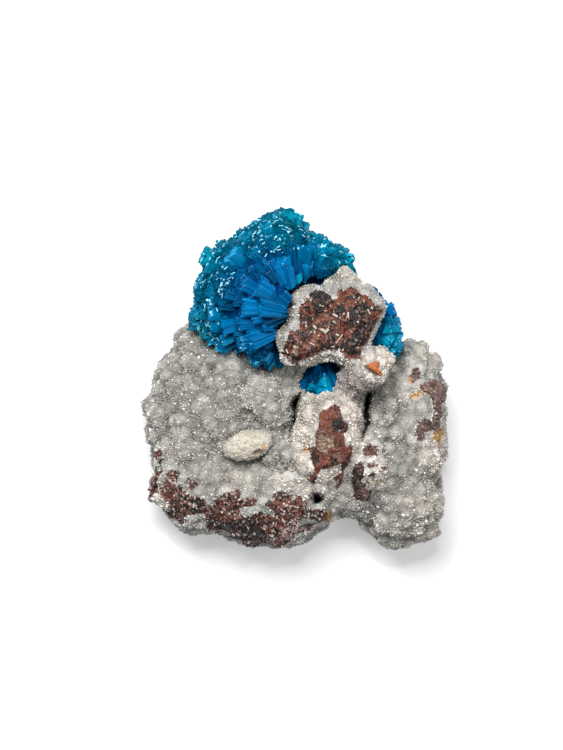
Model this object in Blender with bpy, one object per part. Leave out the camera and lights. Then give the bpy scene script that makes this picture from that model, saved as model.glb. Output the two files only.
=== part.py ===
"""Cavansite rosettes on a drusy basalt matrix, a loose hand specimen lying on its broken back.

X runs to the right and Y away from the viewer, who looks down on the specimen's face, and Z is up.
The origin is the middle of the flat, broken underside. Sizes are written in millimetres and turned
into metres when a mesh is made.

The pale rock is one solid: lumps of druse grown together over basalt. The basalt shows where the
druse has broken away, as fragments seated flush in pockets of the rock. Three rosettes of
cavansite, each a radiating bundle of flat-faced prisms, sit in the rock with a hair of clearance.
"""

import math
import random

import bmesh
import bpy
from mathutils import Matrix, Vector, noise

MM = 0.001
CLEARANCE = 0.35

# How much each corner of an outline may stretch when the outline is moved outwards
MITRE_LIMIT = 0.5

# Voxels of the rock while its lumps grow together, and the detail that it keeps afterwards
ROCK_VOXEL = 0.55
ROCK_TRIANGLES = 2900
WEAR_FACTOR = 0.5
WEAR_ROUNDS = 4
DOME_SPACING = 4.9
DOME_HEIGHT = 3.0
DOME_ZERO = 0.75
PEBBLE_SPACING = 2.4
PEBBLE_HEIGHT = 0.6
PEBBLE_ZERO = 0.6
TABLE_REACH = 60.0

# Broad swells and breaks of the flanks below the face, fading out between two levels
FLANK_SPACING = 9.0
FLANK_HEIGHT = 2.2
FLANK_ZERO = 0.35
FLANK_LEVELS = (4.0, 8.5)

# Outline of the rock as seen from above, and the profile of its flanks: at each level, how far
# the rock stands back from the outline
ROCK_OUTLINE = [
    (-15.4, 10.8), (-13.0, 12.0), (-6.0, 14.0), (1.0, 15.0), (8.0, 14.4), (13.0, 11.6),
    (13.8, 8.5), (13.6, 4.6), (15.6, 3.0), (17.6, 6.2), (19.0, 6.9), (20.9, 5.9), (21.9, 4.2),
    (21.8, 2.2), (23.6, 0.6), (24.3, -1.6), (24.0, -5.4), (24.3, -8.8), (23.6, -11.9),
    (23.1, -14.6), (23.3, -18.3), (23.3, -22.0), (22.4, -24.3), (20.8, -25.2), (18.6, -26.4),
    (16.3, -26.5), (14.4, -26.1), (12.7, -24.4), (11.0, -22.6), (9.2, -21.6), (7.0, -21.5),
    (5.7, -22.8), (3.5, -24.0), (1.3, -25.7), (-2.2, -26.9), (-5.6, -26.5), (-7.8, -26.7),
    (-10.1, -25.9), (-12.2, -24.6), (-14.7, -24.5), (-17.8, -23.8), (-20.5, -22.4),
    (-21.8, -20.8), (-23.5, -19.4), (-23.8, -17.8), (-23.2, -14.8), (-23.3, -12.6),
    (-23.2, -10.4), (-24.2, -8.6), (-23.9, -5.2), (-22.9, -2.4), (-22.2, -0.5), (-22.4, 2.4),
    (-21.6, 4.0), (-20.9, 5.8), (-19.0, 7.7), (-17.1, 8.8),
]
ROCK_PROFILE = [
    (-1.5, 2.6), (2.0, 1.3), (5.0, 0.0), (8.5, 0.0), (11.0, 0.8), (13.0, 2.0), (14.6, 3.8), (15.4, 5.6),
]

# Lumps of druse that stand on the rock: centre, then half-sizes
ROCK_LUMPS = {
    "left_mass": ((-11.5, -5.5, 7.0), (12.2, 12.5, 10.6)),
    "left_shoulder": ((-14.5, 2.0, 8.5), (7.0, 6.2, 8.0)),
    "left_flank": ((-18.5, -10.0, 8.0), (5.0, 7.0, 7.0)),
    "hollow_shoulder": ((-5.6, -3.4, 10.0), (6.8, 7.2, 8.4)),
    "back_mass": ((-1.5, 7.5, 6.0), (11.0, 7.6, 8.0)),
    "centre_mass": ((6.0, -9.0, 7.0), (8.5, 12.0, 9.5)),
    "centre_lump": ((5.4, -7.8, 15.5), (4.9, 7.4, 6.6)),
    "centre_toe": ((3.0, -14.0, 13.0), (5.0, 4.2, 5.8)),
    "centre_knuckle": ((-0.4, -11.6, 14.5), (2.8, 3.4, 4.2)),
    "arm": ((9.3, -0.3, 16.4), (2.3, 2.0, 3.2)),
    "knob": ((12.5, 1.3, 20.6), (2.7, 2.9, 3.0)),
    "knob_stem": ((10.6, 2.4, 14.5), (3.0, 3.2, 7.0)),
    "right_mass": ((17.5, -9.0, 6.5), (6.0, 13.0, 9.5)),
    "right_crown": ((19.3, 1.4, 10.5), (3.3, 4.2, 5.6)),
    "right_flank": ((20.6, -4.5, 10.5), (3.4, 5.0, 5.6)),
    "right_inner": ((14.8, -5.6, 12.5), (2.7, 4.6, 5.4)),
    "right_waist": ((19.4, -12.4, 11.0), (3.8, 4.6, 5.6)),
    "right_bridge": ((11.6, -13.6, 12.5), (4.3, 4.4, 5.6)),
    "right_heel": ((18.6, -19.8, 7.5), (5.0, 5.6, 8.6)),
    "lower_bridge": ((8.4, -17.6, 9.0), (4.6, 3.5, 6.0)),
}

# The star-shaped rock at the top of the face: the outline of its pale rim, and its height
STAR_RIM = [
    (7.4, 16.6), (9.6, 16.4), (12.4, 13.8), (13.8, 11.0), (12.4, 7.6), (12.0, 6.2), (10.2, 3.9),
    (8.9, 2.5), (7.2, 2.3), (4.6, 3.1), (2.6, 2.3), (-0.4, 1.1), (-2.5, 1.5), (-3.5, 2.6),
    (-3.4, 4.6), (-2.1, 7.6), (-0.9, 10.4), (-0.7, 13.2), (1.4, 14.1), (3.6, 14.8), (5.4, 15.4),
]
STAR_PROFILE = [(9.0, 3.4), (15.5, 2.6), (17.6, 0.6), (19.0, 0.0), (21.8, 0.0), (22.6, 0.7)]

# The star overhangs the rosettes from this height up, and they stop this far from it
SHELF_FOOT = 17.2
SHELF_GAP = 0.9
SHELF_TOP = 40.0

# Hollows between the lumps: centre, then half-sizes
HOLLOWS = {
    "window": ((3.7, -0.7, 20.0), (3.9, 3.0, 7.2)),
    "left_crevice": ((-0.1, -4.4, 19.0), (0.85, 3.1, 6.5)),
    "right_crevice": ((11.3, -5.0, 18.0), (0.95, 3.5, 8.0)),
    "vug": ((3.7, -18.3, 15.0), (0.75, 1.15, 5.5)),
    "shoulder_pit": ((-14.3, 1.6, 18.5), (1.5, 1.2, 3.4)),
    "face_pit": ((-8.0, -5.6, 18.8), (1.9, 1.1, 2.8)),
    "flank_groove": ((-19.0, -8.5, 17.0), (0.8, 3.0, 3.2)),
}

# Basalt fragments: outline, height of the fragment's foot at the outline's middle, and how much
# the foot rises for each millimetre towards +X and +Y
FRAGMENTS = {
    "basalt_star": (
        [(1.8, 13.0), (3.4, 14.0), (5.0, 13.6), (6.4, 12.6), (6.8, 14.3), (8.6, 14.4),
         (10.2, 13.0), (13.0, 11.6), (13.0, 10.2), (11.9, 7.6), (10.6, 5.8), (9.8, 3.3),
         (8.2, 3.4), (6.4, 4.5), (4.8, 4.4), (2.2, 3.6), (-0.2, 2.6), (-1.7, 3.5),
         (-2.3, 5.0), (-1.0, 7.6), (0.2, 11.2)],
        20.6, 0.0, 0.0,
    ),
    "basalt_wedge": (
        [(10.2, 2.5), (13.1, 2.7), (12.9, 1.3), (13.9, 0.5), (13.2, -0.3), (12.0, 0.6)],
        21.6, 0.0, 0.0,
    ),
    "basalt_centre": (
        [(5.9, -3.9), (6.9, -5.6), (8.0, -7.5), (7.5, -9.4), (8.6, -11.3), (8.2, -13.2),
         (7.3, -15.0), (6.9, -17.2), (6.1, -17.4), (5.9, -15.8), (6.5, -13.6), (5.0, -14.1),
         (3.1, -15.1), (2.5, -16.4), (1.4, -16.0), (2.7, -14.7), (2.3, -12.4), (1.6, -11.3),
         (3.1, -10.5), (3.1, -8.6), (3.5, -5.3)],
        17.0, 0.0, 0.25,
    ),
    "basalt_band": (
        [(-21.4, -12.9), (-18.7, -12.9), (-18.0, -14.6), (-16.2, -15.9), (-14.2, -17.9),
         (-11.4, -18.6), (-9.6, -16.6), (-7.2, -16.0), (-5.6, -17.3), (-4.0, -18.6),
         (-1.4, -17.5), (1.4, -17.0), (2.6, -18.9), (1.6, -21.2), (5.4, -21.4), (5.6, -22.6),
         (3.0, -22.9), (1.0, -24.2), (-0.4, -26.0), (-1.4, -29.0), (-6.6, -29.0),
         (-8.6, -26.0), (-10.4, -24.0), (-12.8, -23.0), (-16.0, -21.6), (-18.6, -19.5),
         (-20.8, -17.0)],
        11.0, 0.06, 0.36,
    ),
    "basalt_sliver": (
        [(-22.9, -11.6), (-21.7, -11.3), (-22.0, -13.2), (-22.4, -15.2), (-22.9, -17.4),
         (-23.8, -17.6), (-23.6, -15.4), (-22.7, -13.4)],
        5.5, 0.6, 0.2,
    ),
    "basalt_right": (
        [(20.2, -0.4), (21.6, 0.1), (23.2, -0.8), (23.8, -2.6), (23.3, -4.6), (22.9, -6.6),
         (22.8, -8.6), (20.9, -8.4), (20.0, -10.2), (18.6, -10.6), (18.2, -9.2), (19.2, -7.4),
         (21.0, -6.6), (21.8, -5.0), (21.4, -3.0), (19.8, -1.8)],
        11.6, -0.55, 0.0,
    ),
    "basalt_streak": (
        [(10.4, -12.9), (11.6, -13.0), (11.9, -14.8), (11.5, -16.4), (12.6, -17.8),
         (11.6, -19.6), (9.7, -19.2), (9.0, -17.0), (8.9, -14.8)],
        13.4, 0.0, 0.1,
    ),
}
FRAGMENT_TOP = 40.0
POCKET_DROP = 0.35
POCKET_HEADROOM = 1.0

# The cream lens: a broken lump of stilbite that stands out of the left lobe
LENS_CENTRE = (-7.8, -10.8, 16.6)
LENS_HALF = (4.0, 2.3, 2.0)
LENS_TURN = 14.0
LENS_WARP = 0.16
LENS_WARP_SPACING = 1.6

# Each rosette: the domes that it is built from (centre, radius), how many prisms its whole ball
# would have, how many bundles they gather in, the seed, and the height of its lowest prism
ROSETTES = {
    "cavansite_main": {
        "heart": (-3.4, 12.4, 13.8),
        "domes": [
            ((-9.9, 12.6, 15.4), 5.8),
            ((-10.2, 17.2, 15.0), 4.4),
            ((-3.4, 19.6, 15.4), 6.0),
            ((-2.3, 23.8, 15.0), 3.0),
            ((3.9, 16.8, 14.8), 4.8),
            ((2.2, 19.6, 14.6), 3.2),
            ((-3.8, 13.0, 18.0), 6.2),
            ((-5.2, 7.2, 17.4), 4.2),
            ((-11.2, 9.0, 15.6), 3.8),
        ],
        "prisms": 205,
        "bundles": 46,
        "seed": 11,
        "buried": 10.5,
    },
    "cavansite_side": {
        "heart": (10.8, 9.4, 13.0),
        "domes": [
            ((12.9, 7.6, 14.2), 3.9),
            ((9.7, 11.5, 13.6), 2.8),
        ],
        "prisms": 62,
        "bundles": 18,
        "seed": 5,
        "buried": 11.0,
    },
    "cavansite_hollow": {
        "heart": (3.8, 0.2, 11.6),
        "domes": [
            ((3.6, -0.2, 12.4), 3.2),
        ],
        "prisms": 44,
        "bundles": 12,
        "seed": 3,
        "buried": 10.5,
    },
}
PRISM_LENGTH = (0.6, 1.5)
BUNDLE_STEP = 0.6
PRISM_TAPER = (0.70, 0.92)
TIP_TILT = 0.42
SHORTEST_PRISM = 0.2
SHORTEST_EDGE = 0.2
SMALLEST_REACH = 0.5
CELL_JITTER = 0.35

# The hollow that each guest sits in: how far it is swollen, its voxels and its triangles
ROSETTE_SEAT = {"grow": 0.85, "voxel": 0.7, "triangles": 560}
LENS_SEAT = {"grow": 0.5, "voxel": 0.5, "triangles": 140}

# Colour and roughness of each piece
FINISHES = {
    "drusy_matrix": ((0.50, 0.48, 0.43), 0.45),
    "basalt_star": ((0.075, 0.020, 0.012), 0.75),
    "basalt_wedge": ((0.38, 0.13, 0.04), 0.7),
    "basalt_centre": ((0.22, 0.05, 0.03), 0.75),
    "basalt_band": ((0.070, 0.022, 0.018), 0.75),
    "basalt_sliver": ((0.060, 0.022, 0.018), 0.75),
    "basalt_right": ((0.12, 0.075, 0.05), 0.75),
    "basalt_streak": ((0.055, 0.022, 0.016), 0.75),
    "stilbite_lens": ((0.72, 0.66, 0.52), 0.5),
    "cavansite_main": ((0.003, 0.16, 0.34), 0.25),
    "cavansite_side": ((0.003, 0.19, 0.36), 0.25),
    "cavansite_hollow": ((0.002, 0.14, 0.38), 0.25),
}


def clear_scene():
    """Removes whatever the file opened with."""
    for obj in list(bpy.data.objects):
        bpy.data.objects.remove(obj)


def finish(obj):
    """Gives an object its own plain material, and no other."""
    (colour, roughness) = FINISHES[obj.name]
    made = bpy.data.materials.new(obj.name)
    made.use_nodes = True
    shader = made.node_tree.nodes["Principled BSDF"]
    shader.inputs["Base Color"].default_value = (*colour, 1.0)
    shader.inputs["Roughness"].default_value = roughness
    shader.inputs["Metallic"].default_value = 0.0
    obj.data.materials.clear()
    obj.data.materials.append(made)


def add_object(name, bm):
    """A new object from a bmesh in millimetres, as a mesh in metres."""
    bmesh.ops.recalc_face_normals(bm, faces=bm.faces)
    bm.transform(Matrix.Scale(MM, 4))
    mesh = bpy.data.meshes.new(name)
    bm.to_mesh(mesh)
    bm.free()
    obj = bpy.data.objects.new(name, mesh)
    bpy.context.scene.collection.objects.link(obj)
    return obj


def settle(obj):
    """Turns an object's modifiers into its mesh."""
    graph = bpy.context.evaluated_depsgraph_get()
    mesh = bpy.data.meshes.new_from_object(obj.evaluated_get(graph))
    obj.modifiers.clear()
    obj.data = mesh
    return obj


def copy_of(obj, name):
    """A second object with its own mesh."""
    made = obj.copy()
    made.data = obj.data.copy()
    made.name = name
    bpy.context.scene.collection.objects.link(made)
    return made


def remesh(obj, voxel):
    """Grows overlapping shapes together on a grid of voxels."""
    modifier = obj.modifiers.new("grow_together", "REMESH")
    modifier.mode = "VOXEL"
    modifier.voxel_size = voxel * MM
    return settle(obj)


def decimate(obj, triangles):
    """Thins a mesh to about this many triangles."""
    obj.data.calc_loop_triangles()
    modifier = obj.modifiers.new("thin", "DECIMATE")
    modifier.ratio = min(1.0, triangles / len(obj.data.loop_triangles))
    modifier.use_collapse_triangulate = True
    return settle(obj)


def combine(obj, other, operation, crossed=False):
    """Cuts, joins or intersects obj with another solid, which is then thrown away.

    Crossed tells that faces of obj may run through one another.
    """
    modifier = obj.modifiers.new(operation.lower(), "BOOLEAN")
    modifier.operation = operation
    modifier.solver = "EXACT"
    modifier.object = other
    modifier.use_self = crossed
    settle(obj)
    bpy.data.objects.remove(other)
    return keep_largest(obj)


def keep_largest(obj):
    """Drops the loose crumbs that a cut leaves beside the main body."""
    bm = bmesh.new()
    bm.from_mesh(obj.data)
    islands, seen = [], set()
    for start in bm.faces:
        if start.index in seen:
            continue
        island, edge_of_search = [], [start]
        seen.add(start.index)
        while edge_of_search:
            face = edge_of_search.pop()
            island.append(face)
            for edge in face.edges:
                for near in edge.link_faces:
                    if near.index not in seen:
                        seen.add(near.index)
                        edge_of_search.append(near)
        islands.append(island)
    islands.sort(key=lambda faces: sum(face.calc_area() for face in faces))
    crumbs = [face for island in islands[:-1] for face in island]
    bmesh.ops.delete(bm, geom=crumbs, context="FACES")
    bm.to_mesh(obj.data)
    bm.free()
    return obj


def swollen(obj, grow, voxel, triangles):
    """A smooth, slightly larger copy of a solid, to cut its seat in what carries it."""
    cutter = remesh(copy_of(obj, obj.name + "_seat"), voxel)
    modifier = cutter.modifiers.new("swell", "DISPLACE")
    modifier.strength = grow * MM
    modifier.mid_level = 0.0
    settle(cutter)
    remesh(cutter, voxel)
    return decimate(cutter, triangles)


def add_ellipsoid(bm, centre, half, turn=0.0, detail=3):
    """An ellipsoid in a bmesh, turned about the vertical by degrees."""
    place = (
        Matrix.Translation(centre)
        @ Matrix.Rotation(math.radians(turn), 4, "Z")
        @ Matrix.Diagonal((*half, 1.0))
    )
    bmesh.ops.create_icosphere(bm, subdivisions=detail, radius=1.0, matrix=place)


def add_column(bm, outline, foot, top):
    """A solid over an outline, from a foot to a top, each a height or a function of x and y."""
    rings = []
    for height in (foot, top):
        rings.append([
            bm.verts.new((x, y, height(x, y) if callable(height) else height))
            for x, y in outline
        ])
    low, high = rings
    bm.faces.new(low[::-1])
    bm.faces.new(high)
    for i in range(len(outline)):
        j = (i + 1) % len(outline)
        bm.faces.new((low[i], low[j], high[j], high[i]))


def add_loft(bm, outline, profile):
    """A solid with rounded flanks over an outline, ring by ring up its profile."""
    rings = [
        [bm.verts.new((x, y, level)) for x, y in grown(outline, -inset)]
        for level, inset in profile
    ]
    bm.faces.new(rings[0][::-1])
    bm.faces.new(rings[-1])
    for low, high in zip(rings, rings[1:]):
        for i in range(len(outline)):
            j = (i + 1) % len(outline)
            bm.faces.new((low[i], low[j], high[j], high[i]))


def grown(outline, distance):
    """An outline moved outwards by a distance, corner by corner."""
    points = [Vector(p) for p in outline]
    area = sum(a.x * b.y - b.x * a.y for a, b in zip(points, points[1:] + points[:1]))
    side = -1.0 if area > 0 else 1.0
    made = []
    for before, here, after in zip(points[-1:] + points[:-1], points, points[1:] + points[:1]):
        normals = []
        for start, end in ((before, here), (here, after)):
            along = (end - start).normalized()
            normals.append(Vector((-along.y, along.x)) * side)
        mean = (normals[0] + normals[1]).normalized()
        reach = distance / max(MITRE_LIMIT, mean.dot(normals[0]))
        made.append(tuple(here + mean * reach))
    return made


def within(outline, point):
    """Whether a point lies inside an outline, seen from above."""
    inside = False
    for (ax, ay), (bx, by) in zip(outline, outline[1:] + outline[:1]):
        if (ay > point.y) != (by > point.y):
            if point.x < ax + (point.y - ay) * (bx - ax) / (by - ay):
                inside = not inside
    return inside


def dome_field(point, spacing):
    """Height from 0 to 1 of a field of round domes, spacing apart, at a point."""
    distance = noise.voronoi(point / spacing)[0][0]
    return 1.0 - min(1.0, distance) ** 2


def roughen(obj):
    """Raises the botryoidal domes of the druse, large and small, along the rock's normals."""
    for vertex in obj.data.vertices:
        point = vertex.co / MM
        lift = DOME_HEIGHT * (dome_field(point, DOME_SPACING) - DOME_ZERO)
        lift += PEBBLE_HEIGHT * (dome_field(point, PEBBLE_SPACING) - PEBBLE_ZERO)
        low, high = FLANK_LEVELS
        depth = min(1.0, max(0.0, (high - point.z) / (high - low)))
        lift += FLANK_HEIGHT * depth * (noise.noise(point / FLANK_SPACING) - FLANK_ZERO)
        vertex.co += vertex.normal * lift * MM


def make_rock():
    """The pale matrix: lumps grown together, hollowed, domed and cut flat underneath."""
    bm = bmesh.new()
    add_loft(bm, ROCK_OUTLINE, ROCK_PROFILE)
    add_loft(bm, STAR_RIM, STAR_PROFILE)
    for centre, half in ROCK_LUMPS.values():
        add_ellipsoid(bm, centre, half)
    rock = remesh(add_object("drusy_matrix", bm), ROCK_VOXEL)
    bm = bmesh.new()
    for centre, half in HOLLOWS.values():
        add_ellipsoid(bm, centre, half)
    hollows = remesh(add_object("hollows", bm), ROCK_VOXEL)
    combine(rock, hollows, "DIFFERENCE")
    smooth = rock.modifiers.new("wear", "SMOOTH")
    smooth.factor = WEAR_FACTOR
    smooth.iterations = WEAR_ROUNDS
    settle(rock)
    roughen(rock)
    remesh(rock, ROCK_VOXEL)
    decimate(rock, ROCK_TRIANGLES)
    bm = bmesh.new()
    reach = TABLE_REACH
    square = [(-reach, -reach), (reach, -reach), (reach, reach), (-reach, reach)]
    add_column(bm, square, -reach, 0.0)
    combine(rock, add_object("table", bm), "DIFFERENCE")
    return rock


def sphere_cells(count, jitter, dice):
    """Corner directions of each cell of an uneven honeycomb on the unit sphere."""
    golden_turn = math.pi * (3.0 - math.sqrt(5.0))
    hull = bmesh.new()
    for i in range(count):
        height = 1.0 - (2 * i + 1) / count
        ring = math.sqrt(1.0 - height * height)
        point = Vector((ring * math.cos(golden_turn * i), ring * math.sin(golden_turn * i), height))
        shake = Vector((dice.gauss(0, jitter) for _ in range(3)))
        hull.verts.new((point + shake).normalized())
    bmesh.ops.convex_hull(hull, input=hull.verts)
    hull.faces.index_update()
    corners = [face.normal.normalized() for face in hull.faces]
    cells = []
    for vertex in hull.verts:
        axis = vertex.co.normalized()
        side = axis.orthogonal().normalized()
        other = axis.cross(side)
        around = sorted(
            (face.index for face in vertex.link_faces),
            key=lambda i: math.atan2(corners[i].dot(other), corners[i].dot(side)),
        )
        cells.append(around)
    hull.free()
    return corners, cells


def dome_reach(direction, heart, domes):
    """How far the joined domes reach from the heart in a direction."""
    best = SMALLEST_REACH
    for centre, radius in domes:
        offset = Vector(centre) - heart
        along = offset.dot(direction)
        inside = along * along - offset.length_squared + radius * radius
        if inside > 0:
            best = max(best, along + math.sqrt(inside))
    return best


def nearest_dome(point, domes):
    """The centre of the dome whose surface is nearest to a point."""
    centre, _ = min(domes, key=lambda dome: abs((point - Vector(dome[0])).length - dome[1]))
    return Vector(centre)


def make_rosette(name, heart, domes, prisms, bundles, seed, buried):
    """A radiating rosette: every cell of a honeycomb over its domes grows into a tapered prism."""
    dice = random.Random(seed)
    heart = Vector(heart)
    corners, cells = sphere_cells(prisms, CELL_JITTER / math.sqrt(prisms), dice)
    leaders = [
        (Vector((dice.gauss(0, 1) for _ in range(3))).normalized(), dice.uniform(-1, 1))
        for _ in range(bundles)
    ]
    bm = bmesh.new()
    roots = [
        bm.verts.new(heart + direction * dome_reach(direction, heart, domes))
        for direction in corners
    ]
    for cell in cells:
        bm.faces.new([roots[i] for i in cell])
    bmesh.ops.dissolve_degenerate(bm, dist=SHORTEST_EDGE, edges=bm.edges)
    bmesh.ops.recalc_face_normals(bm, faces=bm.faces)
    middles = {face: face.calc_center_median() for face in bm.faces}
    open_cells = [
        face for face, middle in middles.items()
        if middle.z > buried and not within(STAR_RIM, middle)
    ]
    tops = bmesh.ops.extrude_discrete_faces(bm, faces=open_cells)["faces"]
    for top in tops:
        middle = top.calc_center_median()
        growth = (middle - nearest_dome(middle, domes)).normalized()
        direction = (middle - heart).normalized()
        _, step = max(leaders, key=lambda leader: leader[0].dot(direction))
        length = dice.uniform(*PRISM_LENGTH) + BUNDLE_STEP * step
        taper = dice.uniform(*PRISM_TAPER)
        lean = Vector((dice.uniform(-TIP_TILT, TIP_TILT) for _ in range(3)))
        for vertex in top.verts:
            spoke = vertex.co - middle
            height = max(SHORTEST_PRISM, length + spoke.dot(lean))
            vertex.co = middle + growth * height + spoke * taper
    bmesh.ops.triangulate(bm, faces=bm.faces)
    return add_object(name, bm)


def cut_shelf(rosette):
    """Keeps a rosette clear of the star-shaped rock that stands over its edge."""
    bm = bmesh.new()
    add_column(bm, grown(STAR_RIM, SHELF_GAP), SHELF_FOOT, SHELF_TOP)
    combine(rosette, add_object("shelf", bm), "DIFFERENCE", crossed=True)


def make_lens():
    """The cream lump of stilbite, with a few flat cleaved sides."""
    bm = bmesh.new()
    add_ellipsoid(bm, LENS_CENTRE, LENS_HALF, LENS_TURN, detail=2)
    for vertex in bm.verts:
        offset = vertex.co - Vector(LENS_CENTRE)
        warp = LENS_WARP * noise.noise(vertex.co / LENS_WARP_SPACING)
        vertex.co = Vector(LENS_CENTRE) + offset * (1.0 + warp)
    return add_object("stilbite_lens", bm)


def make_fragment(name, rock, outline, foot, rise_x, rise_y):
    """A basalt fragment flush with the rock's surface, and the pocket that it sits in."""
    middle = sum((Vector(p) for p in outline), Vector((0, 0))) / len(outline)

    def foot_at(x, y):
        return foot + rise_x * (x - middle.x) + rise_y * (y - middle.y)

    def pocket_at(x, y):
        return foot_at(x, y) - POCKET_DROP

    bm = bmesh.new()
    add_column(bm, outline, foot_at, FRAGMENT_TOP)
    fragment = add_object(name, bm)
    combine(fragment, copy_of(rock, "rock_copy"), "INTERSECT")
    bm = bmesh.new()
    add_column(bm, grown(outline, CLEARANCE), pocket_at, FRAGMENT_TOP + POCKET_HEADROOM)
    combine(rock, add_object("pocket", bm), "DIFFERENCE")


def centre_on_origin():
    """Moves all meshes so that the middle of the whole stands over the origin."""
    meshes = [obj.data for obj in bpy.data.objects]
    points = [vertex.co for mesh in meshes for vertex in mesh.vertices]
    shift = [-(min(p[i] for p in points) + max(p[i] for p in points)) / 2 for i in range(2)]
    for mesh in meshes:
        mesh.transform(Matrix.Translation((*shift, 0.0)))


def main():
    """Builds the rock, seats the rosettes and the lens in it, then the basalt fragments."""
    clear_scene()
    rock = make_rock()
    seats = []
    for name, sizes in ROSETTES.items():
        rosette = make_rosette(name, **sizes)
        cut_shelf(rosette)
        for seat in seats:
            combine(rosette, copy_of(seat, "seat_copy"), "DIFFERENCE")
        seats.append(swollen(rosette, **ROSETTE_SEAT))
    lens = make_lens()
    seats.append(swollen(lens, **LENS_SEAT))
    for seat in seats:
        combine(rock, seat, "DIFFERENCE")
    for name, (outline, foot, rise_x, rise_y) in FRAGMENTS.items():
        make_fragment(name, rock, outline, foot, rise_x, rise_y)
    centre_on_origin()
    for obj in bpy.data.objects:
        finish(obj)


main()
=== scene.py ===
"""Looks of the cavansite cluster: druse, blue rosettes, broken basalt and a stilbite lens.

Lengths are in millimetres in this file and become metres when a mesh is made. The face of the
specimen is also laid out as a drawing, on a grid of fine steps to the right and down, and the
outlines of what shows on the face are given on that grid.
"""

from __future__ import annotations

import logging
import math
from dataclasses import dataclass, field
from enum import Enum
from typing import Any

import bpy
import numpy as np
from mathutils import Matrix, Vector, bvhtree, noise

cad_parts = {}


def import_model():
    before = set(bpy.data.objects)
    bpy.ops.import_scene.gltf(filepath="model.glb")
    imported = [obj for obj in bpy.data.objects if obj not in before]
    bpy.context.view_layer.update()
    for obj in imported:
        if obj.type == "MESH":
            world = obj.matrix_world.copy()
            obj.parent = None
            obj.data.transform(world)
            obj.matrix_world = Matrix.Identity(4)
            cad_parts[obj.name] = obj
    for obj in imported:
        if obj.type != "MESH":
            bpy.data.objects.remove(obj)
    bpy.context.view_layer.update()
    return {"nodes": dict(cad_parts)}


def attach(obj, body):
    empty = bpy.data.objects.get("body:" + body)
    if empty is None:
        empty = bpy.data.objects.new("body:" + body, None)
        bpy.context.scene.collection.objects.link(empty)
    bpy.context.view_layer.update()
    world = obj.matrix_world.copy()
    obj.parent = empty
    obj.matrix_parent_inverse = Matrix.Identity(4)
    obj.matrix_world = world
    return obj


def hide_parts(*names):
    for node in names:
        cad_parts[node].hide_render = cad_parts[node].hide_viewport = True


LOG = logging.getLogger("cavansite_cluster")
MM = 0.001

Array = np.ndarray
Colour = tuple[float, float, float]
Place = tuple[float, float, float]
Spot = tuple[float, float]
Spread = tuple[float, float]
UP = np.array([0.0, 0.0, 1.0])
TINY = 1e-9
WELD_GAP = 0.002
SEEDS_A_CELL = 3.0
CHIP_TILT = 0.7


# Shader maths


class Wire:
    """A shader value on which Python arithmetic adds Math nodes."""

    def __init__(self, recipe: Recipe, socket: Any) -> None:
        """Keeps the recipe that the value belongs to, and its socket."""
        self.recipe = recipe
        self.socket = socket

    def _math(self, operation: str, *values: Any) -> Wire:
        """One Math node on wires or numbers, in the order of its sockets."""
        sockets = dict(enumerate(values))
        return self.recipe.node("ShaderNodeMath", {"operation": operation}, sockets)

    def __add__(self, other: Any) -> Wire:
        """self + other."""
        return self._math("ADD", self, other)

    def __radd__(self, other: Any) -> Wire:
        """other + self."""
        return self._math("ADD", other, self)

    def __sub__(self, other: Any) -> Wire:
        """self - other."""
        return self._math("SUBTRACT", self, other)

    def __rsub__(self, other: Any) -> Wire:
        """other - self."""
        return self._math("SUBTRACT", other, self)

    def __mul__(self, other: Any) -> Wire:
        """self * other."""
        return self._math("MULTIPLY", self, other)

    def __rmul__(self, other: Any) -> Wire:
        """other * self."""
        return self._math("MULTIPLY", other, self)

    def __pow__(self, other: Any) -> Wire:
        """self ** other."""
        return self._math("POWER", self, other)

    def between(self, low: float, high: float) -> Wire:
        """A smooth step of the value, 0 at low and 1 at high, which is above low."""
        settings = {"interpolation_type": "SMOOTHSTEP"}
        return self.recipe.node("ShaderNodeMapRange", settings, {0: self, 1: low, 2: high})


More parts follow.
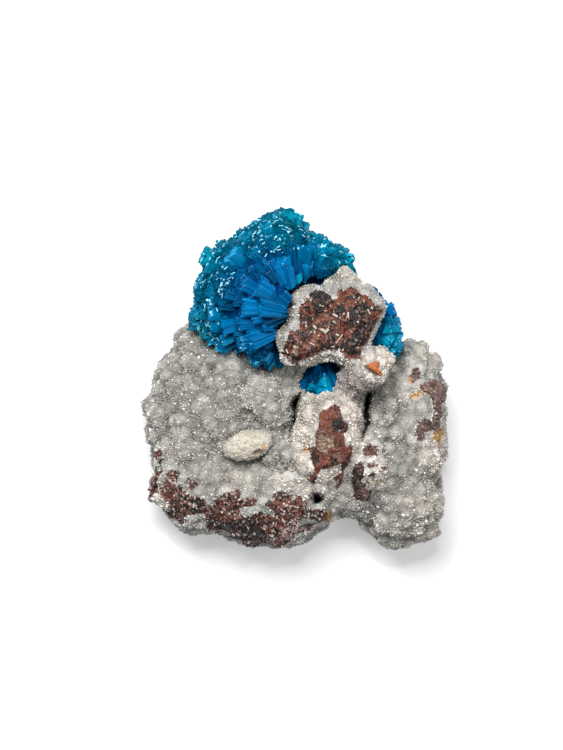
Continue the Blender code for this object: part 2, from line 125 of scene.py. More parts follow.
class Recipe:
    """One material and the nodes of its finish."""

    def __init__(self, name: str) -> None:
        """Starts a material with a Principled shader.

        Args:
            name: The material's name.
        """
        self.material = bpy.data.materials.new(name)
        self.material.use_nodes = True
        self.tree = self.material.node_tree
        self.shader = self.tree.nodes["Principled BSDF"]

    def node(
        self,
        kind: str,
        settings: dict[str, Any] | None = None,
        sockets: dict[Any, Any] | None = None,
        output: int | str = 0,
    ) -> Wire:
        """Any node of the tree.

        Args:
            kind: The node's type.
            settings: Its properties, which are set first.
            sockets: Numbers, colours or wires for its inputs, by name or place.
            output: The output to hand back.

        Returns:
            That output.
        """
        made = self.tree.nodes.new(kind)
        for name, value in (settings or {}).items():
            setattr(made, name, value)
        for name, value in (sockets or {}).items():
            self._feed(made.inputs[name], value)
        return Wire(self, made.outputs[output])

    def _feed(self, socket: Any, value: Any) -> None:
        """Links a wire to a socket, or sets the socket to a value.

        Args:
            socket: The input.
            value: A wire, a number or a colour.
        """
        if isinstance(value, Wire):
            self.tree.links.new(value.socket, socket)
        elif isinstance(value, tuple) and len(value) == 3 and socket.type == "RGBA":
            socket.default_value = (*value, 1.0)
        else:
            socket.default_value = value

    def mask(self, name: str) -> Wire:
        """A value that the mesh carries on its points under a name."""
        return self.node("ShaderNodeAttribute", {"attribute_name": name}, output="Fac")

    def vector(self, operation: str, *values: Any) -> Wire:
        """One Vector Math node on wires or vectors, in the order of its sockets."""
        return self.node("ShaderNodeVectorMath", {"operation": operation}, dict(enumerate(values)))

    def place(self, scale: float = 1.0) -> Wire:
        """Where on the object a point lies, with so many steps in a metre."""
        where = self.node("ShaderNodeTexCoord", output="Object")
        return self.vector("MULTIPLY", where, (scale, scale, scale))

    def cloud(self, size: float, detail: float = 3.0, roughness: float = 0.55) -> Wire:
        """Soft noise from 0 to 1.

        Args:
            size: The size of its clouds in millimetres.
            detail: Octaves.
            roughness: How much the fine octaves count.

        Returns:
            The noise.
        """
        sockets = {
            "Vector": self.place(1.0 / MM),
            "Scale": 1.0 / size,
            "Detail": detail,
            "Roughness": roughness,
        }
        return self.node("ShaderNodeTexNoise", {}, sockets)

    def cells(self, size: float, output: str = "Distance") -> Wire:
        """Cells of a size in millimetres: the Distance to their middles or their Color."""
        sockets = {"Vector": self.place(1.0 / MM), "Scale": 1.0 / size}
        return self.node("ShaderNodeTexVoronoi", {}, sockets, output)

    def blend(self, share: Any, first: Any, second: Any) -> Wire:
        """One colour or wire fading into another.

        Args:
            share: How much of the second shows.
            first: A colour.
            second: The other colour.

        Returns:
            The blend.
        """
        return self.node(
            "ShaderNodeMix", {"data_type": "RGBA"}, {0: share, 6: first, 7: second}, output=2
        )

    def tinted(self, colour: Any, factor: Any) -> Wire:
        """A colour made brighter or darker.

        Args:
            colour: The colour.
            factor: A number or wire to multiply it by.

        Returns:
            The colour.
        """
        grey = self.node("ShaderNodeCombineColor", {}, {0: factor, 1: factor, 2: factor})
        settings = {"data_type": "RGBA", "blend_type": "MULTIPLY"}
        return self.node("ShaderNodeMix", settings, {0: 1.0, 6: colour, 7: grey}, output=2)

    def over(self, tone: Any, *coats: tuple[str, float, Any]) -> Wire:
        """A colour with others laid over it.

        Args:
            tone: The colour below.
            coats: The mask, the strength and the colour of each coat.

        Returns:
            The colour.
        """
        for name, strength, colour in coats:
            tone = self.blend(self.mask(name) * strength, tone, colour)
        return tone

    def relief(self, height: Wire, depth: float, strength: float = 1.0) -> Wire:
        """A normal with bumps of a depth in millimetres, and how much of them shows."""
        sockets = {"Strength": strength, "Distance": depth * MM, "Height": height}
        return self.node("ShaderNodeBump", {}, sockets)

    def dress(self, **sockets: Any) -> Any:
        """Sets the shader's sockets.

        Args:
            sockets: Their values by name, with _ for a space.

        Returns:
            The material.
        """
        for name, value in sockets.items():
            self._feed(self.shader.inputs[name.replace("_", " ")], value)
        return self.material


# Finishes


@dataclass(frozen=True)
class DruseFinish:
    """The sugary crust, on the rock's skin and on its grains."""

    grey: Colour = (0.325, 0.313, 0.280)
    pale: Colour = (0.51, 0.50, 0.455)
    cream: Colour = (0.84, 0.74, 0.64)
    violet: Colour = (0.33, 0.26, 0.25)
    # Painted shade: the dark colour of shaded creases and crevices.
    shade: Colour = (0.13, 0.12, 0.10)
    ochre: Colour = (0.45, 0.27, 0.10)
    bare: Colour = (0.085, 0.045, 0.034)
    # Used for the white rim and for the painted sparkles on the grains.
    white: Colour = (0.72, 0.70, 0.67)
    # Painted shade: the near-black laid into the crevices.
    hollow: Colour = (0.012, 0.010, 0.009)
    patch_size: float = 2.4
    drift_size: float = 2.2
    sugar_size: float = 0.35
    # Painted highlight: grains whose luck is above this are painted nearly white as sparkles.
    painted_glint_from: float = 0.93

    def _tone(self, recipe: Recipe, lift: Wire) -> Wire:
        """The crust's colour before bare spots, with painted shade in shaded patches and
        near-black painted shade in the crevices.

        Args:
            recipe: The material's recipe.
            lift: How pale the crust is, from 0 to 1.

        Returns:
            The colour.
        """
        return recipe.over(
            recipe.blend(lift, self.grey, self.pale),
            ("cream", 0.8, self.cream), ("violet", 0.8, self.violet), ("rim", 0.45, self.white),
            ("shade", 0.75, self.shade), ("crevice", 1.0, self.hollow),
        )

    def skin(self) -> Any:
        """The crust between and under the grains.

        Returns:
            The material.
        """
        recipe = Recipe("druse_skin")
        tone = self._tone(recipe, (recipe.cloud(self.patch_size, 4.0) - 0.4) * 1.2)
        # Painted shade: the crust is darkened in the creases between its domes.
        tone = recipe.tinted(tone, 0.3 + 0.55 * recipe.mask("crown"))
        tone = recipe.over(tone, ("bare", 1.0, self.bare), ("ochre", 1.0, self.ochre))
        bumps = recipe.cells(self.sugar_size) * 0.7 + recipe.cloud(0.5) * 0.5
        return recipe.dress(
            Base_Color=tone, Roughness=0.55, Normal=recipe.relief(bumps, 0.12, 0.8)
        )

    def grains(self) -> Any:
        """The small clear crystals.

        Returns:
            The material.
        """
        recipe = Recipe("druse_grains")
        luck = recipe.mask("luck")
        tone = self._tone(recipe, luck * 0.30 + (recipe.cloud(self.drift_size) - 0.38) * 0.9)
        # Painted shade: the grains are darkened in the creases between the domes.
        tone = recipe.tinted(tone, 0.56 + 0.58 * recipe.mask("crown") + 0.08 * luck)
        # Painted highlight: a few grains painted nearly white as sparkles.
        painted_glints = luck.between(self.painted_glint_from, self.painted_glint_from + 0.02)
        return recipe.dress(
            Base_Color=recipe.blend(painted_glints * 0.8, tone, self.white),
            Roughness=0.12 + 0.3 * luck, IOR=1.5, Specular_IOR_Level=0.5,
        )


@dataclass(frozen=True)
class BasaltFinish:
    """A broken face of basalt: black and rusty grains, with pale minerals in places."""

    name: str
    dark: Colour = (0.020, 0.012, 0.011)
    rust: Colour = (0.19, 0.045, 0.020)
    pink: Colour = (0.27, 0.16, 0.135)
    tan: Colour = (0.46, 0.34, 0.22)
    mineral: Colour = (0.55, 0.50, 0.44)
    rust_share: float = 0.5
    pink_share: float = 0.06
    mineral_share: float = 0.008
    contrast: float = 1.0
    patch_size: float = 1.3
    grain_size: float = 0.42

    def _tone(self, recipe: Recipe, luck: Wire, chance: Wire) -> Wire:
        """The colour of one grain of the rock.

        Args:
            recipe: The material's recipe.
            luck: A number of the grain's own that picks black or rust.
            chance: Another one that picks the pale minerals.

        Returns:
            The colour.
        """
        patch = recipe.cloud(self.patch_size, 4.0, 0.62) * 1.7 - 0.45
        rusty = (luck * 0.45 + patch) * self.contrast - recipe.mask("dark") * 0.40
        tone = recipe.blend(
            (rusty + self.rust_share - 0.95).between(-0.12, 0.16), self.dark, self.rust
        )
        tone = recipe.tinted(tone, 0.55 + 0.9 * chance)
        pinkish = chance + recipe.mask("pink") * 0.6
        edge = 1.0 - self.pink_share
        tone = recipe.blend(pinkish.between(edge - 0.05, edge + 0.1) * 0.8, tone, self.pink)
        ragged = recipe.mask("ochre") * 1.5 + recipe.cloud(1.1, 4.0) * 2.4 - 2.1
        ragged = ragged.between(0.0, 0.4) * 0.75
        tone = recipe.blend(ragged, tone, recipe.tinted(self.tan, 0.4 + luck))
        edge = 1.0 - self.mineral_share
        return recipe.blend(luck.between(edge, edge + 0.01), tone, self.mineral)

    def face(self) -> Any:
        """The finish of the rock's broken surface.

        Returns:
            The material.
        """
        recipe = Recipe(self.name + "_face")
        cell = {0: recipe.cells(self.grain_size, "Color")}
        luck, chance = (recipe.node("ShaderNodeSeparateColor", {}, cell, way) for way in (0, 1))
        bumps = recipe.cells(self.grain_size) * 0.8 + recipe.cloud(0.3) * 0.6
        tone = recipe.tinted(self._tone(recipe, luck, chance), 0.7)
        return recipe.dress(
            Base_Color=tone, Roughness=0.5 + 0.3 * luck, Normal=recipe.relief(bumps, 0.22)
        )

    def chips(self) -> Any:
        """The finish of the grains that stand out of the surface.

        Returns:
            The material.
        """
        recipe = Recipe(self.name + "_chips")
        luck, chance = recipe.mask("luck"), recipe.mask("chance")
        return recipe.dress(
            Base_Color=self._tone(recipe, luck, chance), Roughness=0.18 + 0.5 * chance
        )


@dataclass(frozen=True)
class CavansiteFinish:
    """The blue blades and the fibrous bundles that they grow from."""

    name: str
    heart_of: Place
    deep: Colour = (0.0, 0.026, 0.120)
    azure: Colour = (0.0, 0.125, 0.310)
    teal: Colour = (0.0, 0.125, 0.200)
    # Painted glow: the colour of light shining through thin blades.
    painted_glow: Colour = (0.0, 0.40, 0.56)
    # Painted highlight: the colour of the glints on the blades' ends.
    pale: Colour = (0.36, 0.74, 0.84)
    gleam: tuple[float, float, float, float] = (0.10, 0.55, 0.85, 1.0)
    grooves: float = 42.0
    flattening: Place = (1.0, 1.0, 0.35)

    def _striae(self, recipe: Recipe) -> Wire:
        """Fine grooves that radiate from the rosette's heart.

        Args:
            recipe: The material's recipe.

        Returns:
            Their height.
        """
        heart = tuple(v * MM for v in self.heart_of)
        offset = recipe.vector("SUBTRACT", recipe.place(), heart)
        way = recipe.vector("NORMALIZE", recipe.vector("MULTIPLY", offset, self.flattening))
        sockets = {"Vector": way, "Scale": self.grooves, "Detail": 2.0}
        return recipe.node("ShaderNodeTexNoise", {}, sockets)

    def _tone(self, recipe: Recipe, light: Wire) -> Wire:
        """Deep blue inside, teal at the rim, with a painted glow of light in places.

        Args:
            recipe: The material's recipe.
            light: How light the blue is, from 0 to 1.

        Returns:
            The colour.
        """
        rim = recipe.tinted(self.teal, 0.55 + 0.9 * light)
        tone = recipe.blend(light, self.deep, self.azure)
        return recipe.over(tone, ("rim", 1.0, rim), ("glow", 0.75, self.painted_glow))

    def heart(self) -> Any:
        """The bundles' silky sides and the mass between the blades.

        Returns:
            The material.
        """
        recipe = Recipe(self.name + "_heart")
        striae = self._striae(recipe)
        light = recipe.cloud(3.0, 2.0) - 0.35
        return recipe.dress(
            Base_Color=recipe.tinted(self._tone(recipe, light + (striae - 0.5) * 0.5), 0.75),
            Roughness=0.36, Specular_IOR_Level=0.10, Specular_Tint=self.gleam,
            Normal=recipe.relief(striae, 0.18, 0.6),
        )

    def blades(self) -> Any:
        """The glassy blades.

        Returns:
            The material.
        """
        recipe = Recipe(self.name + "_blades")
        luck, crown, height = (recipe.mask(name) for name in ("luck", "crown", "height"))
        patch = (recipe.cloud(4.0, 2.0) - 0.5) * 0.7
        # Lighter on the bundles' crowns and darker in the creases between them as painted shade,
        # mixed with a random tone for each sheaf; also lighter towards each blade's end.
        light = luck * 0.3 + crown * 0.6 + height ** 4.0 * 0.2 + patch
        tone = recipe.tinted(self._tone(recipe, light), 0.34 + 0.30 * luck + 0.62 * crown)
        # Painted highlight: pale glints on the blades' end faces where the surface is rough.
        end = height.between(0.92, 0.95)
        glint = (recipe.mask("rough") * 0.6 + luck * 1.2 - 1.12).between(0.0, 0.2)
        return recipe.dress(
            Base_Color=recipe.blend(end * glint * 0.9, tone, self.pale),
            Roughness=0.10 + 0.25 * recipe.mask("chance"),
            Specular_IOR_Level=0.35, Specular_Tint=self.gleam,
        )


@dataclass(frozen=True)
class StilbiteFinish:
    """The cream lens, with a rusty mark where it is chipped."""

    cream: Colour = (0.42, 0.37, 0.28)
    white: Colour = (0.50, 0.47, 0.41)
    grey: Colour = (0.40, 0.385, 0.345)
    mark: Colour = (0.14, 0.085, 0.045)
    rust: Colour = (0.50, 0.22, 0.07)

    def make(self) -> Any:
        """The lens's waxy, sparry finish.

        Returns:
            The material.
        """
        recipe = Recipe("stilbite")
        mottle = recipe.cloud(1.2, 4.0)
        tone = recipe.over(
            recipe.blend(mottle.between(0.35, 0.7), self.cream, self.white),
            ("rim", 0.7, self.white), ("edge", 0.6, self.grey), ("bare", 0.85, self.mark),
            ("ochre", 0.7, self.rust),
        )
        bumps = recipe.cells(0.4) * 0.8 + recipe.cloud(0.4) * 0.5
        return recipe.dress(
            Base_Color=tone, Roughness=0.35 + 0.2 * mottle, Normal=recipe.relief(bumps, 0.15)
        )


@dataclass(frozen=True)
class PaperFinish:
    """The studio's white sweep, lit a little from within."""

    white: Colour = (0.56, 0.555, 0.57)
    glow: Colour = (1.0, 1.0, 1.0)
    glow_strength: float = 0.34

    def make(self) -> Any:
        """A plain matt white.

        Returns:
            The material.
        """
        return Recipe("studio_paper").dress(
            Base_Color=self.white, Roughness=0.9, Specular_IOR_Level=0.0,
            Emission_Color=self.glow, Emission_Strength=self.glow_strength,
        )


# The face laid out as a drawing


@dataclass(frozen=True)
class Drawing:
    """The specimen's face on a grid: steps to the right and down."""

    step: float = 0.16
    middle: Spot = (297.0, 379.0)
    under_middle: Spot = (0.4, -0.3)
    lean: float = 0.087
    level: float = 14.0

    def spots(self, points: Array) -> Array:
        """Where points of the object lie on the drawing.

        Args:
            points: Places in millimetres, one a row.

        Returns:
            Their spots on the grid.
        """
        right = points[:, 0] - self.under_middle[0]
        up = points[:, 1] - self.under_middle[1] + self.lean * (points[:, 2] - self.level)
        return np.stack(
            [self.middle[0] + right / self.step, self.middle[1] - up / self.step], axis=1
        )

    def places(self, spots: Array, level: float) -> Array:
        """Where spots of the drawing lie on the object.

        Args:
            spots: Spots on the grid.
            level: Their height in millimetres.

        Returns:
            Places to the right and away, in millimetres.
        """
        right = (spots[:, 0] - self.middle[0]) * self.step + self.under_middle[0]
        up = (self.middle[1] - spots[:, 1]) * self.step + self.under_middle[1]
        return np.stack([right, up - self.lean * (level - self.level)], axis=1)


FACE = Drawing()
# The masks handed to the grains: real tones, and painted shade in shaded patches, crevices and
# creases.
DRUSE_TONES = ("cream", "violet", "rim", "shade", "crown", "crevice")


def smooth_step(values: Array, low: float, high: float) -> Array:
    """A smooth step of values, 0 at low and 1 at high."""
    share = np.clip((values - low) / (high - low), 0.0, 1.0)
    return share * share * (3.0 - 2.0 * share)


@dataclass(frozen=True)
class Outline:
    """A closed outline on the drawing."""

    corners: tuple[Spot, ...]

    def depth(self, spots: Array) -> Array:
        """How far inside the outline spots lie.

        Args:
            spots: Spots on the grid.

        Returns:
            Millimetres from the edge, below 0 outside.
        """
        ends = np.array(self.corners, float)
        nearest = np.full(len(spots), np.inf)
        inside = np.zeros(len(spots), bool)
        for start, end in zip(ends, np.roll(ends, -1, axis=0)):
            edge = end - start
            offset = spots - start
            along = np.clip(offset @ edge / (edge @ edge), 0.0, 1.0)
            gap = np.linalg.norm(offset - along[:, None] * edge, axis=1)
            nearest = np.minimum(nearest, gap)
            crosses = (start[1] > spots[:, 1]) != (end[1] > spots[:, 1])
            if edge[1]:
                reach = start[0] + offset[:, 1] * edge[0] / edge[1]
                inside ^= crosses & (spots[:, 0] < reach)
        return np.where(inside, nearest, -nearest) * FACE.step


@dataclass(frozen=True)
class Zone:
    """A soft round patch on the drawing."""

    centre: Spot
    half: Spot
    strength: float = 1.0

    def share(self, spots: Array) -> Array:
        """How much of the patch's tone spots of the drawing have, up to its strength."""
        away = np.linalg.norm((spots - self.centre) / np.array(self.half), axis=1)
        return self.strength * (1.0 - smooth_step(away, 0.55, 1.1))


def zones(*rows: tuple[float, ...]) -> tuple[Zone, ...]:
    """Soft patches from rows of two for the centre, two for the half sizes and a strength."""
    return tuple(Zone(row[0:2], row[2:4], *row[4:]) for row in rows)


def most(patches: tuple[Zone, ...], spots: Array) -> Array:
    """The largest share of any zone.

    Args:
        patches: The zones.
        spots: Spots on the grid.

    Returns:
        The shares.
    """
    if not patches:
        return np.zeros(len(spots))
    return np.max([patch.share(spots) for patch in patches], axis=0)


class Patch(Enum):
    """What the drawing shows, by name."""

    STAR = Outline((
        (309, 296), (313.5, 292), (318, 291), (323.5, 292), (328, 295.5), (330.5, 299.5),
        (333.5, 301), (336.5, 301), (337.5, 298), (337, 295), (337.5, 290.5), (341, 289),
        (342.5, 292), (346, 291), (347.5, 288.5), (350.5, 288), (355.5, 290.5), (357.5, 294),
        (362, 296), (365, 296.5), (366.5, 299.5), (370, 300), (371.5, 303), (374, 307.5),
        (379, 306.5), (382, 310), (381, 313), (377.5, 316), (376, 320.5), (373.5, 324.5),
        (371, 330), (369, 334.5), (367.5, 340.5), (365.5, 346), (361, 349), (359.5, 353),
        (360, 360), (354.5, 360.5), (348, 360), (344.5, 357.5), (341, 354), (339, 350.5),
        (333.5, 351), (328, 351), (323.5, 353), (320, 355), (313.5, 357.5), (308, 359.5),
        (303.5, 360.5), (299, 363.5), (295.5, 365.5), (292, 364), (288.5, 361.5), (285, 359),
        (282.5, 355.5), (282.5, 350), (285, 345), (288.5, 340.5), (288.5, 336), (289.5, 331.5),
        (296.5, 331.5), (299, 329), (299.5, 322.5), (299, 315.5), (299.5, 308), (302, 302.5),
        (306.5, 300.5), (309, 298),
    ))
    WEDGE = Outline((
        (360, 364), (366.5, 364.5), (372, 362.5), (378.5, 362.5), (377.5, 366), (378.5, 370.5),
        (380.5, 373.5), (384.5, 376), (385, 377.5), (379, 374.5), (376, 377), (373, 378),
        (372, 374.5), (367.5, 373.5), (362.5, 369),
    ))
    CENTRE = Outline((
        (334.5, 403), (337.5, 406.5), (339.5, 411), (341, 418), (342, 422.5), (345, 422),
        (347.5, 424.5), (347, 428.5), (344.5, 431.5), (342, 432), (343, 435.5), (343.5, 440),
        (343.5, 444.5), (345.5, 447), (352, 445.5), (350.5, 451), (351.5, 454.5), (348.5, 457.5),
        (349.5, 460.5), (347, 464.5), (343.5, 467.5), (342.5, 471), (342.5, 475.5),
        (342, 482.5), (339.5, 488), (335, 489.5), (334, 486.5), (338, 482.5), (338, 479.5),
        (333.5, 479), (333.5, 477), (338, 474), (340.5, 472), (342, 467.5), (340.5, 461),
        (337.5, 463.5), (332, 467.5), (326.5, 467.5), (321, 468), (318, 472.5), (315.5, 474),
        (316, 478), (313.5, 482.5), (310.5, 480.5), (305.5, 480.5), (307.5, 477), (312.5, 475),
        (314.5, 471), (314.5, 466.5), (311.5, 461), (309, 456.5), (310.5, 452), (307.5, 449),
        (308, 447.5), (314.5, 445.5), (315, 442.5), (316.5, 438), (314, 435.5), (315.5, 432.5),
        (317.5, 429.5), (318, 423.5), (319, 416.5), (318, 414.5), (320, 411.5), (325.5, 409),
        (330, 406.5),
    ))
    STREAK = Outline((
        (360, 461), (364, 466.5), (363.5, 471), (362, 477.5), (360, 480), (362, 482.5),
        (365.5, 484.5), (364, 488), (364.5, 490), (370.5, 491.5), (369, 497.5), (368, 500),
        (362, 501.5), (355.5, 499), (352.5, 496.5), (355.5, 493.5), (352.5, 487.5), (351, 478),
        (352, 471), (354.5, 463.5), (357.5, 462),
    ))
    STREAK_CAP = Outline((
        (362, 449.5), (363.5, 446), (369, 443.5), (374, 445), (377.5, 448), (377.5, 452.5),
        (375, 457), (371, 454.5), (365.5, 457), (362, 453.5),
    ))
    STREAK_FLECK = Outline((
        (365.5, 463), (370, 464), (374, 461), (376, 464), (374, 467), (368, 467),
    ))
    BAND = Outline((
        (160, 486), (164, 483), (166.5, 477.5), (165.5, 474.5), (170.5, 470.5), (180, 472.5),
        (180.5, 479), (175.5, 481.5), (172, 481.5), (173, 486), (181.5, 487.5), (183, 492.5),
        (188.5, 496), (200, 497.5), (207, 501.5), (208.5, 506), (215.5, 506), (215.5, 500.5),
        (220, 497.5), (225.5, 493), (231.5, 493), (238, 489), (240.5, 493), (240, 499),
        (248.5, 497.5), (258, 499), (254.5, 504.5), (245.5, 506), (238.5, 509), (240, 514),
        (245.5, 517.5), (254.5, 513), (261.5, 511.5), (265.5, 514), (273, 516), (277, 513),
        (271.5, 509), (264.5, 503), (273, 499), (273, 494), (279.5, 490.5), (284.5, 493),
        (290, 494.5), (297, 494), (303, 499), (306.5, 503), (306.5, 509), (310, 509.5),
        (321.5, 509.5), (327, 514.5), (326.5, 521.5), (317, 521), (308.5, 518), (303, 518),
        (295.5, 521.5), (300, 527.5), (313.5, 523), (315, 526), (307, 531), (298.5, 533),
        (291.5, 539), (285.5, 544.5), (280, 551), (273, 549), (268.5, 544.5), (261.5, 545.5),
        (253, 548), (245.5, 546), (240, 541), (230, 539), (228, 531.5), (220, 531),
        (218.5, 534.5), (211.5, 531.5), (204.5, 529), (208.5, 521.5), (204.5, 514.5),
        (200, 513), (191.5, 516), (184.5, 517.5), (187, 522.5), (181.5, 525.5), (173, 521.5),
        (167, 517.5), (165.5, 512.5), (170, 511.5), (168.5, 504.5), (163, 499), (160, 493),
    ))
    SLIVER_HIGH = Outline((
        (152, 454), (155.5, 452.5), (160, 449), (163.5, 454.5), (160.5, 467.5), (159.5, 468),
        (158, 461.5), (153.5, 457.5),
    ))
    SLIVER_LOW = Outline((
        (158.5, 471.5), (163.5, 470.5), (161.5, 474.5), (158, 477.5), (157, 484.5), (159.5, 493),
        (154.5, 494), (151.5, 499), (145.5, 499.5), (147, 491.5), (150.5, 486), (150.5, 479),
        (154.5, 476.5),
    ))
    RIGHT = Outline((
        (425, 382.5), (429.5, 381), (432.5, 378.5), (437.5, 380), (440, 382.5), (444, 383.5),
        (447.5, 389), (447.5, 393.5), (446, 399), (445, 402), (440.5, 402), (441.5, 406.5),
        (440.5, 410), (442.5, 415.5), (440.5, 417.5), (439.5, 421), (439.5, 425.5), (436, 430),
        (431.5, 429.5), (424, 432.5), (423.5, 437.5), (420.5, 441.5), (417, 439), (414, 435),
        (416.5, 430), (417.5, 422.5), (422.5, 419.5), (428.5, 420), (431.5, 423.5),
        (433, 416.5), (437.5, 415.5), (437, 410), (433, 407), (432.5, 399.5), (430.5, 393.5),
        (425, 392), (422.5, 391.5), (420, 386.5),
    ))
    DARK_SPOT = Outline((
        (409.5, 376.5), (411.5, 371), (414, 367.5), (417.5, 367.5), (420, 372), (419.5, 377.5),
        (417, 380), (412.5, 382.5),
    ))
    SPOT_FRINGE = Outline((
        (406.5, 379), (407, 376.5), (409.5, 374.5), (412.5, 382), (408.5, 383),
    ))
    OCHRE_BAR = Outline((
        (407.5, 397.5), (410, 400), (416, 398), (419.5, 395.5), (424, 393.5), (421.5, 391),
        (416, 392), (411.5, 395),
    ))
    OCHRE_PATCH = Outline((
        (432.5, 434.5), (434, 431), (440.5, 427.5), (445, 428), (444, 434.5), (442.5, 440),
        (440.5, 449.5), (437.5, 444.5), (433, 440),
    ))
    OCHRE_EDGE = Outline(((448, 390), (451, 392), (450.5, 398), (447, 396)))
    OCHRE_DOT = Outline(((303, 447), (307, 447), (308, 452), (306, 455), (303, 452)))
    OCHRE_STEP = Outline(((372, 479), (375, 480), (374.5, 482.5), (371.5, 482)))
    RUST_FLECK = Outline(((379, 469), (381, 467), (386, 467), (385, 470), (381, 470)))
    BROWN_FLECK = Outline(((368, 474), (371, 472), (376, 473), (374, 477), (369, 477)))
    CENTRE_OCHRE = Outline((
        (316, 433), (322, 432), (328, 434), (333, 439), (335, 446), (328, 451), (321, 453),
        (316, 446),
    ))
    BAND_OCHRE = Outline(((190, 516), (198, 514), (207, 519), (206, 526), (198, 527), (191, 523)))
    BAND_END = Outline(((326, 511), (332, 511), (333, 520), (328, 524), (326, 520)))
    STAR_TAN = Outline(((291, 345), (296, 344), (299, 348), (297, 354), (292, 355), (290, 350)))
    VUG = Outline((
        (313, 492), (317, 491), (321, 494), (322, 499), (319, 504), (314, 504), (312, 498),
    ))
    LEFT_CREVICE = Outline((
        (293, 398), (298, 394), (302, 396), (300, 406), (297, 414), (296, 423), (292, 431),
        (288, 437), (291, 425), (293, 412), (290, 405),
    ))
    RIGHT_CREVICE = Outline((
        (366, 391), (373, 390), (371, 400), (370, 411), (372, 424), (368, 428), (364, 436),
        (361, 441), (362, 428), (363, 412), (364, 400),
    ))
    LENS_CHIP = Outline(((252, 454), (255, 450), (260, 448), (264, 450), (263, 453), (257, 455)))
    LENS_RUST = Outline(((261, 446), (264, 444), (267, 446), (265, 449), (262, 448)))

    def depth(self, spots: Array) -> Array:
        """How far inside the patch spots of the drawing lie, in millimetres."""
        return self.value.depth(spots)


def deepest(patches: list[Patch], spots: Array) -> Array:
    """The depth inside whichever patch a spot is deepest in.

    Args:
        patches: The patches.
        spots: Spots on the grid.

    Returns:
        The depths in millimetres.
    """
    if not patches:
        return np.full(len(spots), -np.inf)
    return np.max([patch.depth(spots) for patch in patches], axis=0)


BARE = [
    Patch.STAR, Patch.WEDGE, Patch.CENTRE, Patch.STREAK, Patch.STREAK_CAP, Patch.STREAK_FLECK,
    Patch.BAND, Patch.SLIVER_HIGH, Patch.SLIVER_LOW, Patch.RIGHT, Patch.DARK_SPOT,
    Patch.RUST_FLECK, Patch.BROWN_FLECK,
]
OCHRE = [
    Patch.SPOT_FRINGE, Patch.OCHRE_BAR, Patch.OCHRE_PATCH, Patch.OCHRE_EDGE, Patch.OCHRE_DOT,
    Patch.OCHRE_STEP, Patch.BAND_END,
]
CREVICES = [Patch.VUG, Patch.LEFT_CREVICE, Patch.RIGHT_CREVICE]
CREAM_ZONES = zones(
    (330, 440, 46, 58, 0.9), (376, 366, 20, 20, 0.9), (232, 482, 24, 16, 0.35),
    (330, 365, 52, 9, 0.4), (428, 355, 12, 18, 0.3), (438, 450, 24, 36, 0.5),
    (412, 410, 34, 40, 0.22), (418, 515, 34, 34, 0.35), (312, 488, 20, 12, 0.5),
    (350, 280, 18, 12, 0.45), (288, 478, 18, 18, 0.5), (374, 470, 18, 24, 0.5),
    (178, 446, 14, 12, 0.3), (165, 500, 14, 14, 0.4), (260, 395, 30, 20, 0.12),
)
FLAT_ZONES = zones((333, 325, 62, 52, 0.9), (330, 445, 34, 50, 0.8))
VIOLET_ZONES = zones((353, 384, 15, 14, 0.9), (340, 396, 18, 8, 0.4))
# Painted shade: patches of the crust darkened where shade falls in creases and hollows.
PAINTED_SHADE_ZONES = zones(
    (212, 368, 7, 6, 0.8), (200, 352, 9, 7, 0.35), (182, 406, 8, 9, 0.4), (222, 430, 12, 6, 0.5),
    (247, 412, 9, 6, 0.4), (395, 400, 16, 10, 0.4), (402, 366, 8, 8, 0.4),
    (400, 470, 26, 10, 0.25), (392, 510, 16, 8, 0.4), (250, 462, 26, 4, 0.5),
    (210, 480, 6, 10, 0.35), (262, 490, 6, 8, 0.4),
)
# Heights and distances in millimetres: where the star's overhang ends and how far its shelter
# reaches, and between which heights the drawing's tones set in.
STAR_FLOOR = 17.0
STAR_MARGIN = 3.0
TONED_FROM = 5.5
TONED_ABOVE = 7.5


def bare_depth(patches: list[Patch], points: Array) -> Array:
    """How far places are inside bare patches; below the star's overhang they are outside.

    Args:
        patches: The bare patches.
        points: Places in millimetres.

    Returns:
        Depths in millimetres, negative outside.
    """
    spots = FACE.spots(points)
    depth = deepest(patches, spots)
    sheltered = (points[:, 2] < STAR_FLOOR) & (Patch.STAR.depth(spots) > -STAR_MARGIN)
    return np.where(sheltered, np.minimum(depth, -STAR_MARGIN), depth)


def face_masks(points: Array) -> dict[str, Array]:
    """The tones and the painted shade that points of the rock take from the drawing.

    Args:
        points: Places in millimetres.

    Returns:
        Shares from 0 to 1 by the name of the tone.
    """
    spots = FACE.spots(points)
    upper = smooth_step(points[:, 2], TONED_FROM, TONED_ABOVE)
    bare, ochre = bare_depth(BARE, points), deepest(OCHRE, spots)
    crevice = deepest(CREVICES, spots)
    open_spot = np.maximum(bare, ochre)
    masks = {
        "bare": smooth_step(bare, -0.05, 0.12),
        "ochre": smooth_step(ochre, -0.08, 0.2),
        "rim": smooth_step(open_spot, -1.3, -0.1),
        "cream": most(CREAM_ZONES, spots),
        "violet": most(VIOLET_ZONES, spots),
        # Painted shade in the shaded patches and along the crevices.
        "shade": np.maximum(most(PAINTED_SHADE_ZONES, spots), smooth_step(crevice, -0.4, 0.4)),
        # The crevices are sunk and also painted near-black as painted shade.
        "crevice": smooth_step(crevice, -0.3, 0.5),
        "flat": np.maximum(smooth_step(open_spot, -2.0, -0.6), most(FLAT_ZONES, spots)),
    }
    return {name: share * upper for name, share in masks.items()}


# Meshes


